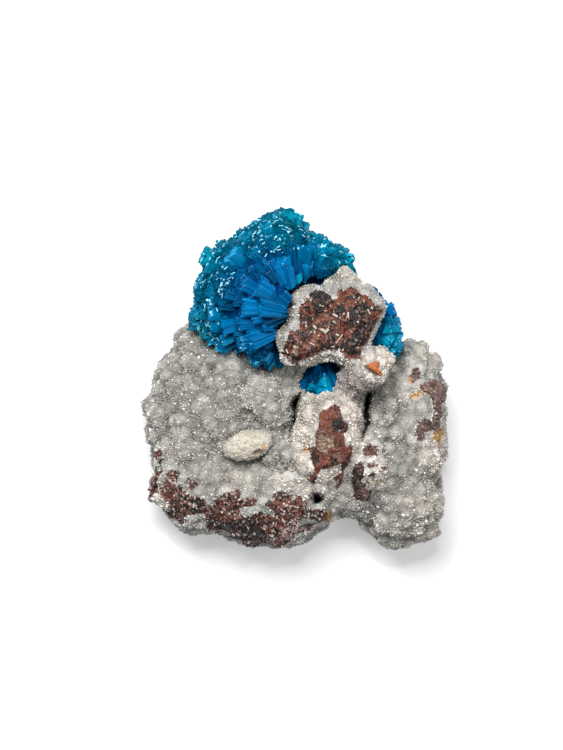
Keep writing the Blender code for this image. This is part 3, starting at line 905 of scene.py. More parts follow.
def mesh_object(name: str, points: Array, triangles: Array) -> Any:
    """A new object from triangles.

    Args:
        name: The object's name.
        points: Its points in millimetres.
        triangles: Three places in points a row.

    Returns:
        The object.
    """
    mesh = bpy.data.meshes.new(name)
    mesh.vertices.add(len(points))
    mesh.vertices.foreach_set("co", (points * MM).astype(np.float32).ravel())
    mesh.loops.add(triangles.size)
    mesh.loops.foreach_set("vertex_index", triangles.astype(np.int32).ravel())
    mesh.polygons.add(len(triangles))
    mesh.polygons.foreach_set("loop_start", np.arange(0, triangles.size, 3, dtype=np.int32))
    mesh.update(calc_edges=True)
    made = bpy.data.objects.new(name, mesh)
    bpy.context.scene.collection.objects.link(made)
    return made


def points_of(obj: Any) -> Array:
    """The points of an object.

    Args:
        obj: The object.

    Returns:
        Places in millimetres, one a row.
    """
    flat = np.empty(len(obj.data.vertices) * 3, np.float32)
    obj.data.vertices.foreach_get("co", flat)
    return flat.reshape(-1, 3).astype(float) / MM


def normals_of(obj: Any) -> Array:
    """The smooth normals of an object.

    Args:
        obj: The object.

    Returns:
        One direction for each point.
    """
    flat = np.empty(len(obj.data.vertices) * 3, np.float32)
    obj.data.vertex_normals.foreach_get("vector", flat)
    return flat.reshape(-1, 3).astype(float)


def triangles_of(obj: Any) -> Array:
    """The triangles of an object.

    Args:
        obj: The object.

    Returns:
        Three places in the list of points a row.
    """
    obj.data.calc_loop_triangles()
    flat = np.empty(len(obj.data.loop_triangles) * 3, np.int32)
    obj.data.loop_triangles.foreach_get("vertices", flat)
    return flat.reshape(-1, 3)


def move_points(obj: Any, points: Array) -> None:
    """Puts an object's points at places in millimetres."""
    obj.data.vertices.foreach_set("co", (points * MM).astype(np.float32).ravel())
    obj.data.update()


def store(obj: Any, masks: dict[str, Array]) -> None:
    """Writes values on an object's points for its material.

    Args:
        obj: The object.
        masks: One value for each point, by name.
    """
    for name, values in masks.items():
        layer = obj.data.attributes.new(name, "FLOAT", "POINT")
        layer.data.foreach_set("value", np.asarray(values, np.float32))


def settle(obj: Any) -> Any:
    """Turns an object's modifiers into its mesh.

    Args:
        obj: The object.

    Returns:
        The same object.
    """
    graph = bpy.context.evaluated_depsgraph_get()
    mesh = bpy.data.meshes.new_from_object(obj.evaluated_get(graph))
    obj.modifiers.clear()
    obj.data = mesh
    return obj


def remesh(obj: Any, voxel: float) -> Any:
    """Grows overlapping shapes together on a grid of voxels.

    Args:
        obj: The object.
        voxel: The voxels' size.

    Returns:
        The same object.
    """
    modifier = obj.modifiers.new("grow_together", "REMESH")
    modifier.mode = "VOXEL"
    modifier.voxel_size = voxel * MM
    modifier.use_smooth_shade = True
    return settle(obj)


def wear(obj: Any, rounds: int) -> Any:
    """Smooths an object.

    Args:
        obj: The object.
        rounds: How many times.

    Returns:
        The same object.
    """
    modifier = obj.modifiers.new("wear", "SMOOTH")
    modifier.factor = 0.5
    modifier.iterations = rounds
    return settle(obj)


def joined_nodes(name: str, nodes: list[str], parts: dict[str, Any]) -> Any:
    """One new object from the meshes of CAD nodes.

    Args:
        name: The new object's name.
        nodes: The nodes' names.
        parts: The frame's objects by node.

    Returns:
        The object.
    """
    points, triangles, count = [], [], 0
    for node in nodes:
        points.append(points_of(parts[node]))
        triangles.append(triangles_of(parts[node]) + count)
        count += len(points[-1])
    made = mesh_object(name, np.concatenate(points), np.concatenate(triangles))
    weld = made.modifiers.new("weld", "WELD")
    weld.merge_threshold = WELD_GAP * MM
    return settle(made)


def field_of(points: Array, spacing: float) -> Array:
    """A field of domes some spacing apart, 1 on their crowns and 0 in the creases."""
    heights = [1.0 - min(1.0, noise.voronoi(Vector(p))[0][0]) ** 2 for p in points / spacing]
    return np.array(heights)


def crease_of(points: Array, spacing: float) -> Array:
    """Shares from 0 in a crease between the domes of field_of to 1 well inside a dome."""
    gaps = [noise.voronoi(Vector(p))[0] for p in points / spacing]
    return smooth_step(np.array([gap[1] - gap[0] for gap in gaps]), 0.0, 0.4)


def cloud_of(points: Array, size: float) -> Array:
    """Soft noise between about -1 and 1, with clouds of a size in millimetres."""
    return np.array([noise.noise(Vector(p)) for p in points / size])


def drop_on(solid: Any, spots: Array) -> Array:
    """Where spots of the drawing lie on a solid, seen from straight above.

    Args:
        solid: The object.
        spots: Spots on the grid.

    Returns:
        Places in millimetres.
    """
    tree = bvhtree.BVHTree.FromObject(solid, bpy.context.evaluated_depsgraph_get())
    level = points_of(solid)[:, 2].mean()
    places = []
    for x, y in FACE.places(spots, level):
        hit = tree.ray_cast(Vector((x, y, 100.0)) * MM, Vector((0.0, 0.0, -1.0)))[0]
        places.append(tuple(hit / MM) if hit else (x, y, level))
    return np.array(places)


class Habit(Enum):
    """Shapes of small crystals: shoulder height, shoulder width and ridge length."""

    BLOCK = (0.55, 0.95, 0.45)
    CHIP = (0.60, 0.75, 0.15)
    SPAR = (0.94, 0.98, 0.80)

    def corners(self) -> Array:
        """The corners of a crystal one long, one wide and one thick.

        Returns:
            Its corners, roots first.
        """
        shoulder, width, ridge = self.value
        ring = np.array([(-0.5, -0.5), (0.5, -0.5), (0.5, 0.5), (-0.5, 0.5)])
        roots = np.column_stack([ring, np.zeros(4)])
        top = np.column_stack([ring * width, np.full(4, shoulder)])
        crest = np.array([(-ridge / 2, 0.0, 1.0), (ridge / 2, 0.0, 1.0)])
        return np.concatenate([roots, top, crest])

    @staticmethod
    def faces() -> Array:
        """The triangles between the corners, three corners a row.

        Returns:
            The triangles.
        """
        sides = []
        for i in range(4):
            j = (i + 1) % 4
            sides += [(i, j, j + 4), (i, j + 4, i + 4)]
        top = [(4, 5, 9), (4, 9, 8), (6, 7, 8), (6, 8, 9), (5, 6, 9), (7, 4, 8)]
        return np.array(sides + top)


@dataclass
class Sowing:
    """Places on a surface where crystals grow, evenly but not regularly spaced."""

    points: Array
    normals: Array

    @classmethod
    def on(cls, obj: Any, spacing: float, dice: np.random.Generator) -> Sowing:
        """Sows a surface.

        Args:
            obj: What is sown.
            spacing: Rough distance between neighbours.
            dice: The source of chance.

        Returns:
            The sowing.
        """
        points, triangles = points_of(obj), triangles_of(obj)
        normals = normals_of(obj)
        a, b, c = (points[triangles[:, i]] for i in range(3))
        areas = np.linalg.norm(np.cross(b - a, c - a), axis=1) / 2.0
        count = int(areas.sum() / spacing**2 * SEEDS_A_CELL)
        chosen = dice.choice(len(triangles), count, p=areas / areas.sum())
        u, v = dice.random(count), dice.random(count)
        flip = u + v > 1.0
        u, v = np.where(flip, 1.0 - u, u), np.where(flip, 1.0 - v, v)
        shares = np.stack([1.0 - u - v, u, v], axis=1)
        corner = triangles[chosen]
        where = np.einsum("ij,ijk->ik", shares, points[corner])
        facing = np.einsum("ij,ijk->ik", shares, normals[corner])
        _, first = np.unique(np.floor(where / spacing).astype(int), axis=0, return_index=True)
        return cls(where[first], unit(facing[first]))

    def kept(self, keep: Array) -> Sowing:
        """Only some of the places."""
        return Sowing(self.points[keep], self.normals[keep])

    def __len__(self) -> int:
        """How many places there are."""
        return len(self.points)


def unit(vectors: Array) -> Array:
    """Vectors made one long."""
    return vectors / np.maximum(np.linalg.norm(vectors, axis=1, keepdims=True), TINY)


def dots(first: Array, second: Array) -> Array:
    """The dot product of each vector with its partner."""
    return np.einsum("ij,ij->i", first, second)


def grow_crystals(
    name: str,
    habit: Habit,
    roots: Array,
    axes: Array,
    sizes: Array,
    dice: np.random.Generator,
    masks: dict[str, Array],
    across: Array | None = None,
) -> Any:
    """Many small crystals as one mesh.

    Args:
        name: The object's name.
        habit: The crystals' shape.
        roots: Where each starts.
        axes: Where each points.
        sizes: Width, thickness and length of each.
        dice: The source of chance.
        masks: Values that each crystal hands to its material.
        across: The way that each crystal is widest, or None for any way.

    Returns:
        The object.
    """
    count = len(roots)
    corners, faces = habit.corners(), habit.faces()
    axes = unit(axes)
    if across is None:
        across = dice.normal(size=(count, 3))
    other = unit(np.cross(axes, across))
    side = np.cross(other, axes)
    local = corners[None, :, :] * sizes[:, None, :]
    points = (
        roots[:, None, :]
        + local[:, :, 0:1] * side[:, None, :]
        + local[:, :, 1:2] * other[:, None, :]
        + local[:, :, 2:3] * axes[:, None, :]
    )
    points[:, :, 2] = np.maximum(points[:, :, 2], 0.0)
    triangles = faces[None, :, :] + (np.arange(count) * len(corners))[:, None, None]
    made = mesh_object(name, points.reshape(-1, 3), triangles.reshape(-1, 3))
    made.data.shade_flat()
    masks = {**masks, "luck": dice.random(count)}
    store(made, {key: np.repeat(values, len(corners)) for key, values in masks.items()})
    store(made, {"height": np.tile(corners[:, 2], count)})
    return made


def strew_chips(
    name: str,
    sowing: Sowing,
    sizes: Array,
    sink: float,
    dice: np.random.Generator,
    masks: dict[str, Array],
) -> Any:
    """Broken grains that stand out of a surface any way.

    Args:
        name: The object's name.
        sowing: Where they stand.
        sizes: Width, thickness and length of each.
        sink: How deep they are rooted.
        dice: The source of chance.
        masks: Values that each hands to its material.

    Returns:
        The object.
    """
    axes = sowing.normals + CHIP_TILT * dice.normal(size=(len(sowing), 3))
    masks = {**masks, "chance": dice.random(len(sowing))}
    roots = sowing.points - sowing.normals * sink
    return grow_crystals(name, Habit.CHIP, roots, axes, sizes, dice, masks)


def inside_of(solids: list[Any], points: Array, margin: float) -> Array:
    """Which points lie in solids.

    Args:
        solids: Closed objects.
        points: Places in millimetres.
        margin: How near to a surface a point counts as inside too.

    Returns:
        True where a point is inside one or near it.
    """
    found = np.zeros(len(points), bool)
    up = Vector((0.0, 0.0, 1.0))
    for solid in solids:
        tree = bvhtree.BVHTree.FromObject(solid, bpy.context.evaluated_depsgraph_get())
        for i, point in enumerate(points * MM):
            if found[i]:
                continue
            start = Vector(point)
            _, above, _, _ = tree.ray_cast(start, up)
            near = tree.find_nearest(start, margin * MM)[0]
            found[i] = near is not None or (above is not None and above.z > 0.0)
    return found


def dress(piece: Any, material: Any, slot: str, *nodes: str) -> None:
    """Gives a piece its finish and its place in the part.

    Args:
        piece: The object.
        material: Its finish.
        slot: The record's material slot; not used.
        nodes: The CAD nodes that it stands for.
    """
    piece.data.materials.clear()
    piece.data.materials.append(material)
    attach(piece, "root")
    if nodes:
        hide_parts(*nodes)
    LOG.info("%s: %d faces", piece.name, len(piece.data.polygons))


# Sub-assemblies


@dataclass
class BasaltFace:
    """One fragment of basalt, with its broken face and the grains that stand out of it.

    Each fleck is a pale lath: its start and its end on the drawing, and its width.
    """

    node: str
    slot: str
    outlines: list[Patch]
    finish: BasaltFinish
    dark_zones: tuple[Zone, ...] = ()
    pink_zones: tuple[Zone, ...] = ()
    ochre_patches: list[Patch] = field(default_factory=list)
    flecks: tuple[tuple[float, ...], ...] = ()
    voxel: float = 0.26
    knob: float = 0.75
    grit: float = 0.35
    grit_height: float = 0.5
    wave: float = 2.0
    wave_height: float = 0.8
    level: float = 0.6
    relief: float = 0.30
    lift: float = 0.06
    tuck: float = 0.45
    chip_spacing: float = 0.34
    chip_size: float = 0.36
    chip_shape: Place = (1.0, 0.7, 0.8)
    chip_root: float = 0.16
    lath_lift: float = 0.12
    lath_thickness: float = 0.6
    lath_white: Colour = (0.40, 0.36, 0.30)
    seed: int = 1
    solid: Any = field(default=None, repr=False)

    def build(self, parts: dict[str, Any]) -> None:
        """Makes the fragment's rough solid and its grains.

        Args:
            parts: The frame's objects by node.
        """
        dice = np.random.default_rng(self.seed)
        self.solid = remesh(joined_nodes(self.node + "_face", [self.node], parts), self.voxel)
        points, normals = points_of(self.solid), normals_of(self.solid)
        exposed = smooth_step(deepest(self.outlines, FACE.spots(points)), -0.15, 0.1)
        rough = field_of(points, self.knob) + self.grit_height * cloud_of(points, self.grit)
        rough = rough + self.wave_height * cloud_of(points, self.wave)
        bumps = self.lift + self.relief * (rough - self.level)
        rise = exposed * bumps - (1.0 - exposed) * self.tuck
        move_points(self.solid, points + normals * rise[:, None])
        store(self.solid, self._masks(points))
        dress(self.solid, self.finish.face(), self.slot, self.node)
        self._chips(dice)
        if self.flecks:
            self._laths(dice)

    def _masks(self, points: Array) -> dict[str, Array]:
        """Where the rock is black, pinkish or ochre.

        Args:
            points: Places in millimetres.

        Returns:
            The masks.
        """
        spots = FACE.spots(points)
        return {
            "dark": most(self.dark_zones, spots),
            "pink": most(self.pink_zones, spots),
            "ochre": smooth_step(deepest(self.ochre_patches, spots), -1.2, 0.9),
        }

    def _chips(self, dice: np.random.Generator) -> None:
        """Scatters broken grains over the exposed face.

        Args:
            dice: The source of chance.
        """
        sowing = Sowing.on(self.solid, self.chip_spacing, dice)
        depth = deepest(self.outlines, FACE.spots(sowing.points))
        sowing = sowing.kept((depth > 0.02) & (sowing.normals[:, 2] > -0.1))
        sizes = self.chip_size * dice.uniform(0.5, 1.5, (len(sowing), 3)) * self.chip_shape
        masks = self._masks(sowing.points)
        chips = strew_chips(self.node + "_chips", sowing, sizes, self.chip_root, dice, masks)
        dress(chips, self.finish.chips(), self.slot)

    def _laths(self, dice: np.random.Generator) -> None:
        """Lays the pale laths on the face.

        Args:
            dice: The source of chance.
        """
        rows = np.array(self.flecks)
        starts, ends = drop_on(self.solid, rows[:, 0:2]), drop_on(self.solid, rows[:, 2:4])
        axes = ends - starts
        widths = rows[:, 4] * dice.uniform(0.4, 0.9, len(axes))
        lengths = np.linalg.norm(axes, axis=1)
        sizes = np.stack([widths, widths * self.lath_thickness, lengths], axis=1)
        laths = grow_crystals(
            self.node + "_laths", Habit.SPAR, starts + UP * self.lath_lift, axes, sizes, dice,
            {"rim": np.ones(len(widths))}, np.cross(axes, UP),
        )
        dress(laths, StilbiteFinish(white=self.lath_white).make(), self.slot)


@dataclass(frozen=True)
class Tier:
    """One size of sheaf: spacing, width, length, blades across, rise and layers."""

    spacing: float
    width: float
    length: float
    across: int
    rise: float
    layers: int = 2


@dataclass
class Rosette:
    """One cavansite rosette: sheaves of long blades that radiate from its hub."""

    node: str
    domes: tuple[tuple[Place, float], ...]
    hub: Place
    middle: Spot
    reach: float
    tiers: tuple[Tier, ...] = (Tier(2.7, 3.6, 4.2, 15, 0.55), Tier(1.6, 1.9, 3.0, 8, 0.38, 1))
    # Zones where a glow of light through the thin blades is painted.
    painted_glows: tuple[Zone, ...] = ()
    rough_zones: tuple[Zone, ...] = ()
    swells: tuple[Zone, ...] = ()
    voxel: float = 0.36
    shrink: float = 0.36
    seat: Spread = (9.0, 12.0)
    lowest: float = 9.5
    outward_from: float = 0.3
    bundle_spacing: float = 4.4
    bundle_rise: float = 0.55
    bundle_level: float = 0.6
    thinning: float = 0.35
    lie: float = 0.98
    lie_spread: float = 0.08
    rim_lift: float = 0.34
    steepness: float = 1.2
    stray: float = 0.10
    side_stray: float = 0.16
    size_range: Spread = (0.7, 1.25)
    rise_range: Spread = (0.4, 1.3)
    width_range: Spread = (0.85, 1.2)
    fan: float = 0.32
    packing: float = 0.68
    overlap: float = 1.35
    shorter_ends: float = 0.5
    droop: float = 0.8
    blade_thickness: float = 0.46
    ragged: Spread = (-0.30, 0.06)
    layer_step: float = 0.26
    layer_drop: float = 0.8
    wobble: float = 0.045
    roll: float = 0.24
    star_gap: float = 1.9
    star_share: float = 0.4
    hub_share: float = 0.85
    # How much painted glint the sheaves' ends get where the surface is rough.
    sheaf_painted_glint: float = 0.45
    tip_spacing: float = 0.46
    tip_size: Place = (0.62, 0.15, 0.9)
    tip_scale: Spread = (0.5, 1.5)
    tip_rise: Spread = (0.1, 0.85)
    rim_from: float = 0.35
    break_size: float = 1.1
    seed: int = 2
    heart: Any = field(default=None, repr=False)

    def build(self, parts: dict[str, Any]) -> None:
        """Makes the heart, the sheaves on it and the loose tips between them.

        Args:
            parts: The frame's objects by node.
        """
        dice = np.random.default_rng(self.seed)
        finish = CavansiteFinish(self.node, self.hub)
        self.heart = remesh(joined_nodes(self.node + "_heart", [self.node], parts), self.voxel)
        wear(self.heart, 3)
        points, normals = points_of(self.heart), normals_of(self.heart)
        rise = most(self.swells, FACE.spots(points)) - self.shrink
        rise = rise * smooth_step(points[:, 2], *self.seat)
        move_points(self.heart, points + normals * rise[:, None])
        store(self.heart, self._masks(points))
        dress(self.heart, finish.heart(), "cavansite", self.node)
        material = finish.blades()
        for number in range(len(self.tiers)):
            self._sheaves(number, dice, material)
        if self.rough_zones:
            self._tips(dice, material)

    def _masks(self, points: Array) -> dict[str, Array]:
        """Where the rosette is teal, where a glow of light is painted and where its surface is
        rough.

        Args:
            points: Places in millimetres.

        Returns:
            The masks.
        """
        spots = FACE.spots(points)
        away = np.linalg.norm(spots - np.array(self.middle), axis=1) * FACE.step
        broken = smooth_step(cloud_of(points, self.break_size), -0.15, 0.25)
        return {
            "rim": smooth_step(away / self.reach, self.rim_from, 1.0),
            # Painted glow of light shining through the thin blades.
            "glow": most(self.painted_glows, spots),
            # The rough mask also sets where glints are painted on the blades' ends.
            "rough": most(self.rough_zones, spots) * broken,
        }

    def _growth(self, points: Array) -> Array:
        """The way that crystals grow at points of the rosette.

        Args:
            points: Places in millimetres.

        Returns:
            Directions, away from the nearest dome's middle.
        """
        centres = np.array([centre for centre, _ in self.domes])
        radii = np.array([radius for _, radius in self.domes])
        offsets = points[:, None, :] - centres[None, :, :]
        gaps = np.abs(np.linalg.norm(offsets, axis=2) - radii)
        return unit(offsets[np.arange(len(points)), gaps.argmin(axis=1)])

    def _flow(self, points: Array) -> Array:
        """The level way from the hub past points of the rosette.

        Args:
            points: Places in millimetres.

        Returns:
            Level directions.
        """
        flow = points - np.array(self.hub)
        flow[:, 2] = 0.0
        return unit(flow)

    def _sown(self, spacing: float, dice: np.random.Generator) -> tuple[Sowing, Array, Array]:
        """Sows the heart's surface.

        Args:
            spacing: Rough distance between neighbours.
            dice: The source of chance.

        Returns:
            The sowing, the ways of growth there and how far the surface faces them.
        """
        sowing = Sowing.on(self.heart, spacing, dice)
        growth = self._growth(sowing.points)
        return sowing, growth, dots(growth, sowing.normals)

    def _sheaves(self, number: int, dice: np.random.Generator, material: Any) -> None:
        """Lays the sheaves of one tier over the heart like shingles.

        Args:
            number: The tier's place in the list.
            dice: The source of chance.
            material: The blades' finish.
        """
        tier = self.tiers[number]
        sowing, growth, outward = self._sown(tier.spacing, dice)
        keep = (outward > self.outward_from) & (sowing.points[:, 2] > self.lowest)
        inner = smooth_step(1.0 - self._masks(sowing.points)["rim"], 0.3, 0.8)
        keep &= dice.random(len(sowing)) > number * self.thinning * inner
        sowing, growth = sowing.kept(keep), growth[keep]
        count, rows = len(sowing), tier.across * tier.layers
        flow, masks = self._flow(sowing.points), self._masks(sowing.points)
        lie = self.lie - self.rim_lift * masks["rim"] - self.lie_spread * dice.random(count)
        axes = lie[:, None] * flow + (self.steepness - lie[:, None]) * growth
        axes = unit(axes + self.stray * dice.normal(size=(count, 3)))
        sides = np.cross(flow, UP) + self.side_stray * dice.normal(size=(count, 3))
        sides = unit(sides - axes * dots(sides, axes)[:, None])
        tops = np.cross(sides, axes)
        tops *= np.sign(tops[:, 2:3] + TINY)
        size = dice.uniform(*self.size_range, count)
        bundle = crease_of(sowing.points, self.bundle_spacing)
        rise = tier.rise * dice.uniform(*self.rise_range, count)
        rise = rise + self.bundle_rise * (bundle - self.bundle_level)
        stand = np.maximum(self.shrink * 0.6 + rise, 0.1) / np.clip(dots(axes, growth), 0.3, 1.0)
        hub_gap = np.linalg.norm((sowing.points - np.array(self.hub))[:, :2], axis=1)
        length = np.minimum(tier.length * size, self.hub_share * hub_gap + stand)

        def per_blade(values: Array) -> Array:
            """One row for each blade from one row for each sheaf."""
            return np.repeat(values, rows, axis=0)

        share = np.tile(np.linspace(-0.5, 0.5, tier.across), count * tier.layers)
        share = share + dice.normal(scale=0.02, size=len(share))
        layer = np.tile(np.repeat(np.arange(tier.layers), tier.across), count)
        spread = self.fan * tier.width / tier.length
        blade_axes = unit(per_blade(axes) + per_blade(sides) * (share * spread)[:, None])
        lengths = per_blade(length) * (1.0 - self.shorter_ends * share**2)
        ragged = dice.uniform(*self.ragged, len(share)) + self.layer_step * layer
        ends = per_blade(sowing.points) + blade_axes * (per_blade(stand) + ragged)[:, None]
        ends += per_blade(sides * size[:, None]) * (share * tier.width * self.packing)[:, None]
        drop = layer * self.layer_drop * self.blade_thickness
        drop = drop + dice.normal(scale=self.wobble, size=len(share))
        ends -= per_blade(tops) * (drop + self.droop * share**2)[:, None]
        below = FACE.spots(ends - blade_axes * lengths[:, None])
        under_star = Patch.STAR.depth(below) > -self.star_gap
        lengths = np.where(under_star, self.star_share * lengths, lengths)
        roots = ends - blade_axes * lengths[:, None]
        turn = dice.normal(scale=self.roll, size=(len(share), 1))
        across = per_blade(sides) + per_blade(tops) * turn
        width = self.overlap * tier.width / tier.across * per_blade(size)
        widths = width * dice.uniform(*self.width_range, len(share))
        sizes = np.stack([widths, np.full(len(share), self.blade_thickness), lengths], axis=1)
        masks = {key: per_blade(values) for key, values in masks.items()}
        # Painted highlight: fewer glints on the sheaves than on the tips.
        masks["rough"] = masks["rough"] * self.sheaf_painted_glint
        masks["chance"] = dice.random(len(share))
        # Painted shade in the creases between bundles, mixed with a random tone for each sheaf.
        masks["crown"] = per_blade(0.4 * dice.random(count) + 0.6 * bundle)
        name = f"{self.node}_sheaves_{number}"
        sheaves = grow_crystals(name, Habit.SPAR, roots, blade_axes, sizes, dice, masks, across)
        dress(sheaves, material, "cavansite")

    def _tips(self, dice: np.random.Generator, material: Any) -> None:
        """Grows short blades where the rosette's surface is rough.

        Args:
            dice: The source of chance.
            material: The blades' finish.
        """
        sowing, growth, outward = self._sown(self.tip_spacing, dice)
        rough = self._masks(sowing.points)["rough"]
        keep = (outward > self.outward_from) & (dice.random(len(sowing)) < rough)
        sowing, growth = sowing.kept(keep), growth[keep]
        count = len(sowing)
        sizes = np.array(self.tip_size) * dice.uniform(*self.tip_scale, (count, 3))
        flow = self._flow(sowing.points)
        axes = unit(growth + 0.4 * flow + 0.2 * dice.normal(size=(count, 3)))
        stand = self.shrink + self.tiers[0].rise * dice.uniform(*self.tip_rise, count)
        roots = sowing.points - axes * (sizes[:, 2] - stand)[:, None]
        across = np.cross(flow, UP) + 0.4 * dice.normal(size=(count, 3))
        masks = {**self._masks(sowing.points), "chance": dice.random(count)}
        # Painted shade in the creases between bundles, for the tips.
        masks["crown"] = 0.4 + 0.6 * crease_of(sowing.points, self.bundle_spacing)
        name = self.node + "_tips"
        tips = grow_crystals(name, Habit.SPAR, roots, axes, sizes, dice, masks, across)
        dress(tips, material, "cavansite")


@dataclass
class Lens:
    """The cream lump of stilbite."""

    node: str = "stilbite_lens"
    voxel: float = 0.22
    knob: float = 0.8
    knob_height: float = 0.14
    grit: float = 0.5
    grit_height: float = 0.10
    chip_depth: float = 0.35
    plate_spacing: float = 0.30
    plate_shape: Place = (1.0, 0.4, 0.45)
    plate_size: Spread = (0.25, 0.65)
    plate_root: float = 0.10
    bare_share: float = 0.55
    pale_end: Zone = Zone((268, 446), (12, 16))
    clean: Zone = Zone((248, 447), (26, 17))
    finish: StilbiteFinish = StilbiteFinish()
    seed: int = 9
    solid: Any = field(default=None, repr=False)

    def build(self, parts: dict[str, Any]) -> None:
        """Makes the lens and the tabular crystals on it.

        Args:
            parts: The frame's objects by node.
        """
        dice = np.random.default_rng(self.seed)
        self.solid = remesh(joined_nodes("stilbite_body", [self.node], parts), self.voxel)
        wear(self.solid, 3)
        points, normals = points_of(self.solid), normals_of(self.solid)
        chip = smooth_step(Patch.LENS_CHIP.depth(FACE.spots(points)), -0.1, 0.3)
        bumps = self.knob_height * field_of(points, self.knob)
        bumps = bumps + self.grit_height * cloud_of(points, self.grit)
        rise = bumps - self.chip_depth * chip
        move_points(self.solid, points + normals * rise[:, None])
        store(self.solid, self._masks(points))
        material = self.finish.make()
        dress(self.solid, material, "stilbite", self.node)
        sowing = Sowing.on(self.solid, self.plate_spacing, dice)
        keep = (self._masks(sowing.points)["bare"] < 0.3) & (sowing.normals[:, 2] > -0.2)
        sowing = sowing.kept(keep & (dice.random(len(sowing)) > self.bare_share))
        count = len(sowing)
        sizes = dice.uniform(*self.plate_size, (count, 3)) * self.plate_shape
        axes = sowing.normals + 0.3 * dice.normal(size=(count, 3))
        roots, masks = sowing.points - sowing.normals * self.plate_root, self._masks(sowing.points)
        plates = grow_crystals("stilbite_plates", Habit.BLOCK, roots, axes, sizes, dice, masks)
        dress(plates, material, "stilbite")

    def _masks(self, points: Array) -> dict[str, Array]:
        """The lens's chip, rust, pale end and greyish edge.

        Args:
            points: Places in millimetres.

        Returns:
            The masks.
        """
        spots = FACE.spots(points)
        return {
            "bare": smooth_step(Patch.LENS_CHIP.depth(spots), -0.1, 0.15),
            "ochre": smooth_step(Patch.LENS_RUST.depth(spots), -0.2, 0.15),
            "rim": self.pale_end.share(spots),
            "edge": 1.0 - self.clean.share(spots),
        }


